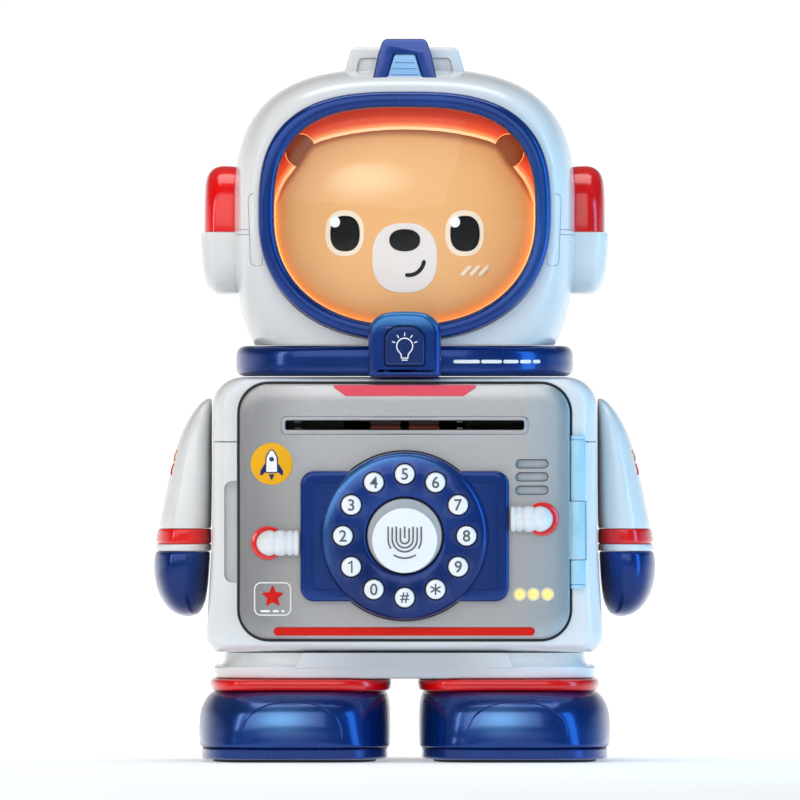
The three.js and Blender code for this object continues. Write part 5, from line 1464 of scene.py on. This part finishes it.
off_r = node(nt, "ShaderNodeMath", operation="SUBTRACT")
nt.links.new(side_r.outputs["Result"], off_r.inputs[0])
nt.links.new(near.outputs["Result"], off_r.inputs[1])
off_r.use_clamp = True
hue_f = node(nt, "ShaderNodeMix", data_type="RGBA")
hue_f.inputs[6].default_value, hue_f.inputs[7].default_value = (1, 1, 1, 1), (0.74, 0.93, 1.0, 1)
nt.links.new(off_r.outputs["Value"], hue_f.inputs[0])
nt.links.new(hue_f.outputs[2], p.inputs["Emission Color"])
p.inputs["Roughness"].default_value = 0.6
p.inputs["Specular IOR Level"].default_value = 0.2
me.materials.append(fm)

world = bpy.data.worlds.new("studio")
scene.world = world
world.use_nodes = True
wn = world.node_tree
bg = wn.nodes["Background"]
wt = wn.nodes.new("ShaderNodeTexCoord")
wz = wn.nodes.new("ShaderNodeSeparateXYZ")
wn.links.new(wt.outputs["Generated"], wz.inputs["Vector"])
band = wn.nodes.new("ShaderNodeMapRange")
band.inputs["From Min"].default_value, band.inputs["From Max"].default_value = 0.03, 0.30
band.inputs["To Min"].default_value, band.inputs["To Max"].default_value = 1.03, 0.13
wn.links.new(wz.outputs["Z"], band.inputs["Value"])
ahead = wn.nodes.new("ShaderNodeMapRange")
ahead.inputs["From Min"].default_value, ahead.inputs["From Max"].default_value = -0.1, 0.4
ahead.inputs["From Min"].default_value, ahead.inputs["From Max"].default_value = -0.22, 0.28
wn.links.new(wz.outputs["Y"], ahead.inputs["Value"])
both = wn.nodes.new("ShaderNodeMix")
both.data_type = "FLOAT"
sideways = wn.nodes.new("ShaderNodeMapRange")
sideways.inputs["From Min"].default_value, sideways.inputs["From Max"].default_value = -0.6, 0.6
sideways.inputs["To Min"].default_value, sideways.inputs["To Max"].default_value = 0.04, 0.20
wn.links.new(wz.outputs["X"], sideways.inputs["Value"])
wn.links.new(sideways.outputs["Result"], both.inputs[2])
tint = wn.nodes.new("ShaderNodeMapRange")
tint.inputs["From Min"].default_value, tint.inputs["From Max"].default_value = 0.35, 0.9
wn.links.new(wz.outputs["X"], tint.inputs["Value"])
hue = wn.nodes.new("ShaderNodeMix")
hue.data_type = "RGBA"
hue.inputs[6].default_value, hue.inputs[7].default_value = (1, 1, 1, 1), (0.42, 0.78, 1.0, 1)
wn.links.new(tint.outputs["Result"], hue.inputs[0])
wn.links.new(hue.outputs[2], bg.inputs["Color"])
wn.links.new(ahead.outputs["Result"], both.inputs[0])
wn.links.new(band.outputs["Result"], both.inputs[3])
wn.links.new(both.outputs[0], bg.inputs["Strength"])


def softbox(name, loc, target, size, power, colour=(1, 1, 1)):
    d = bpy.data.lights.new(name, "AREA")
    d.shape, d.size, d.size_y = "RECTANGLE", size[0], size[1]
    d.energy, d.color = power, colour
    o = bpy.data.objects.new(name, d)
    scene.collection.objects.link(o)
    o.location = loc
    o.rotation_euler = (Vector(target) - Vector(loc)).to_track_quat("-Z", "Y").to_euler()
    return o


softbox("key", (-0.46, -1.10, 0.80), (-0.34, 0, 0.52), (1.5, 1.15), 9.0)
softbox("cool_right", (0.46, -0.26, 0.20), (0.04, -0.02, 0.12), (0.16, 0.5), 1.32, (0.12, 0.56, 1.0))
softbox("top", (0.0, 0.05, 1.0), (0, 0, 0.1), (0.8, 0.5), 3.9)
softbox("strip_left", (-0.62, -0.34, 0.34), (0, 0, 0.12), (0.10, 0.42), 0.70)

scene.view_settings.view_transform = "Standard"
scene.view_settings.look = "None"
scene.view_settings.exposure = 0.0
scene.view_settings.gamma = 1.0
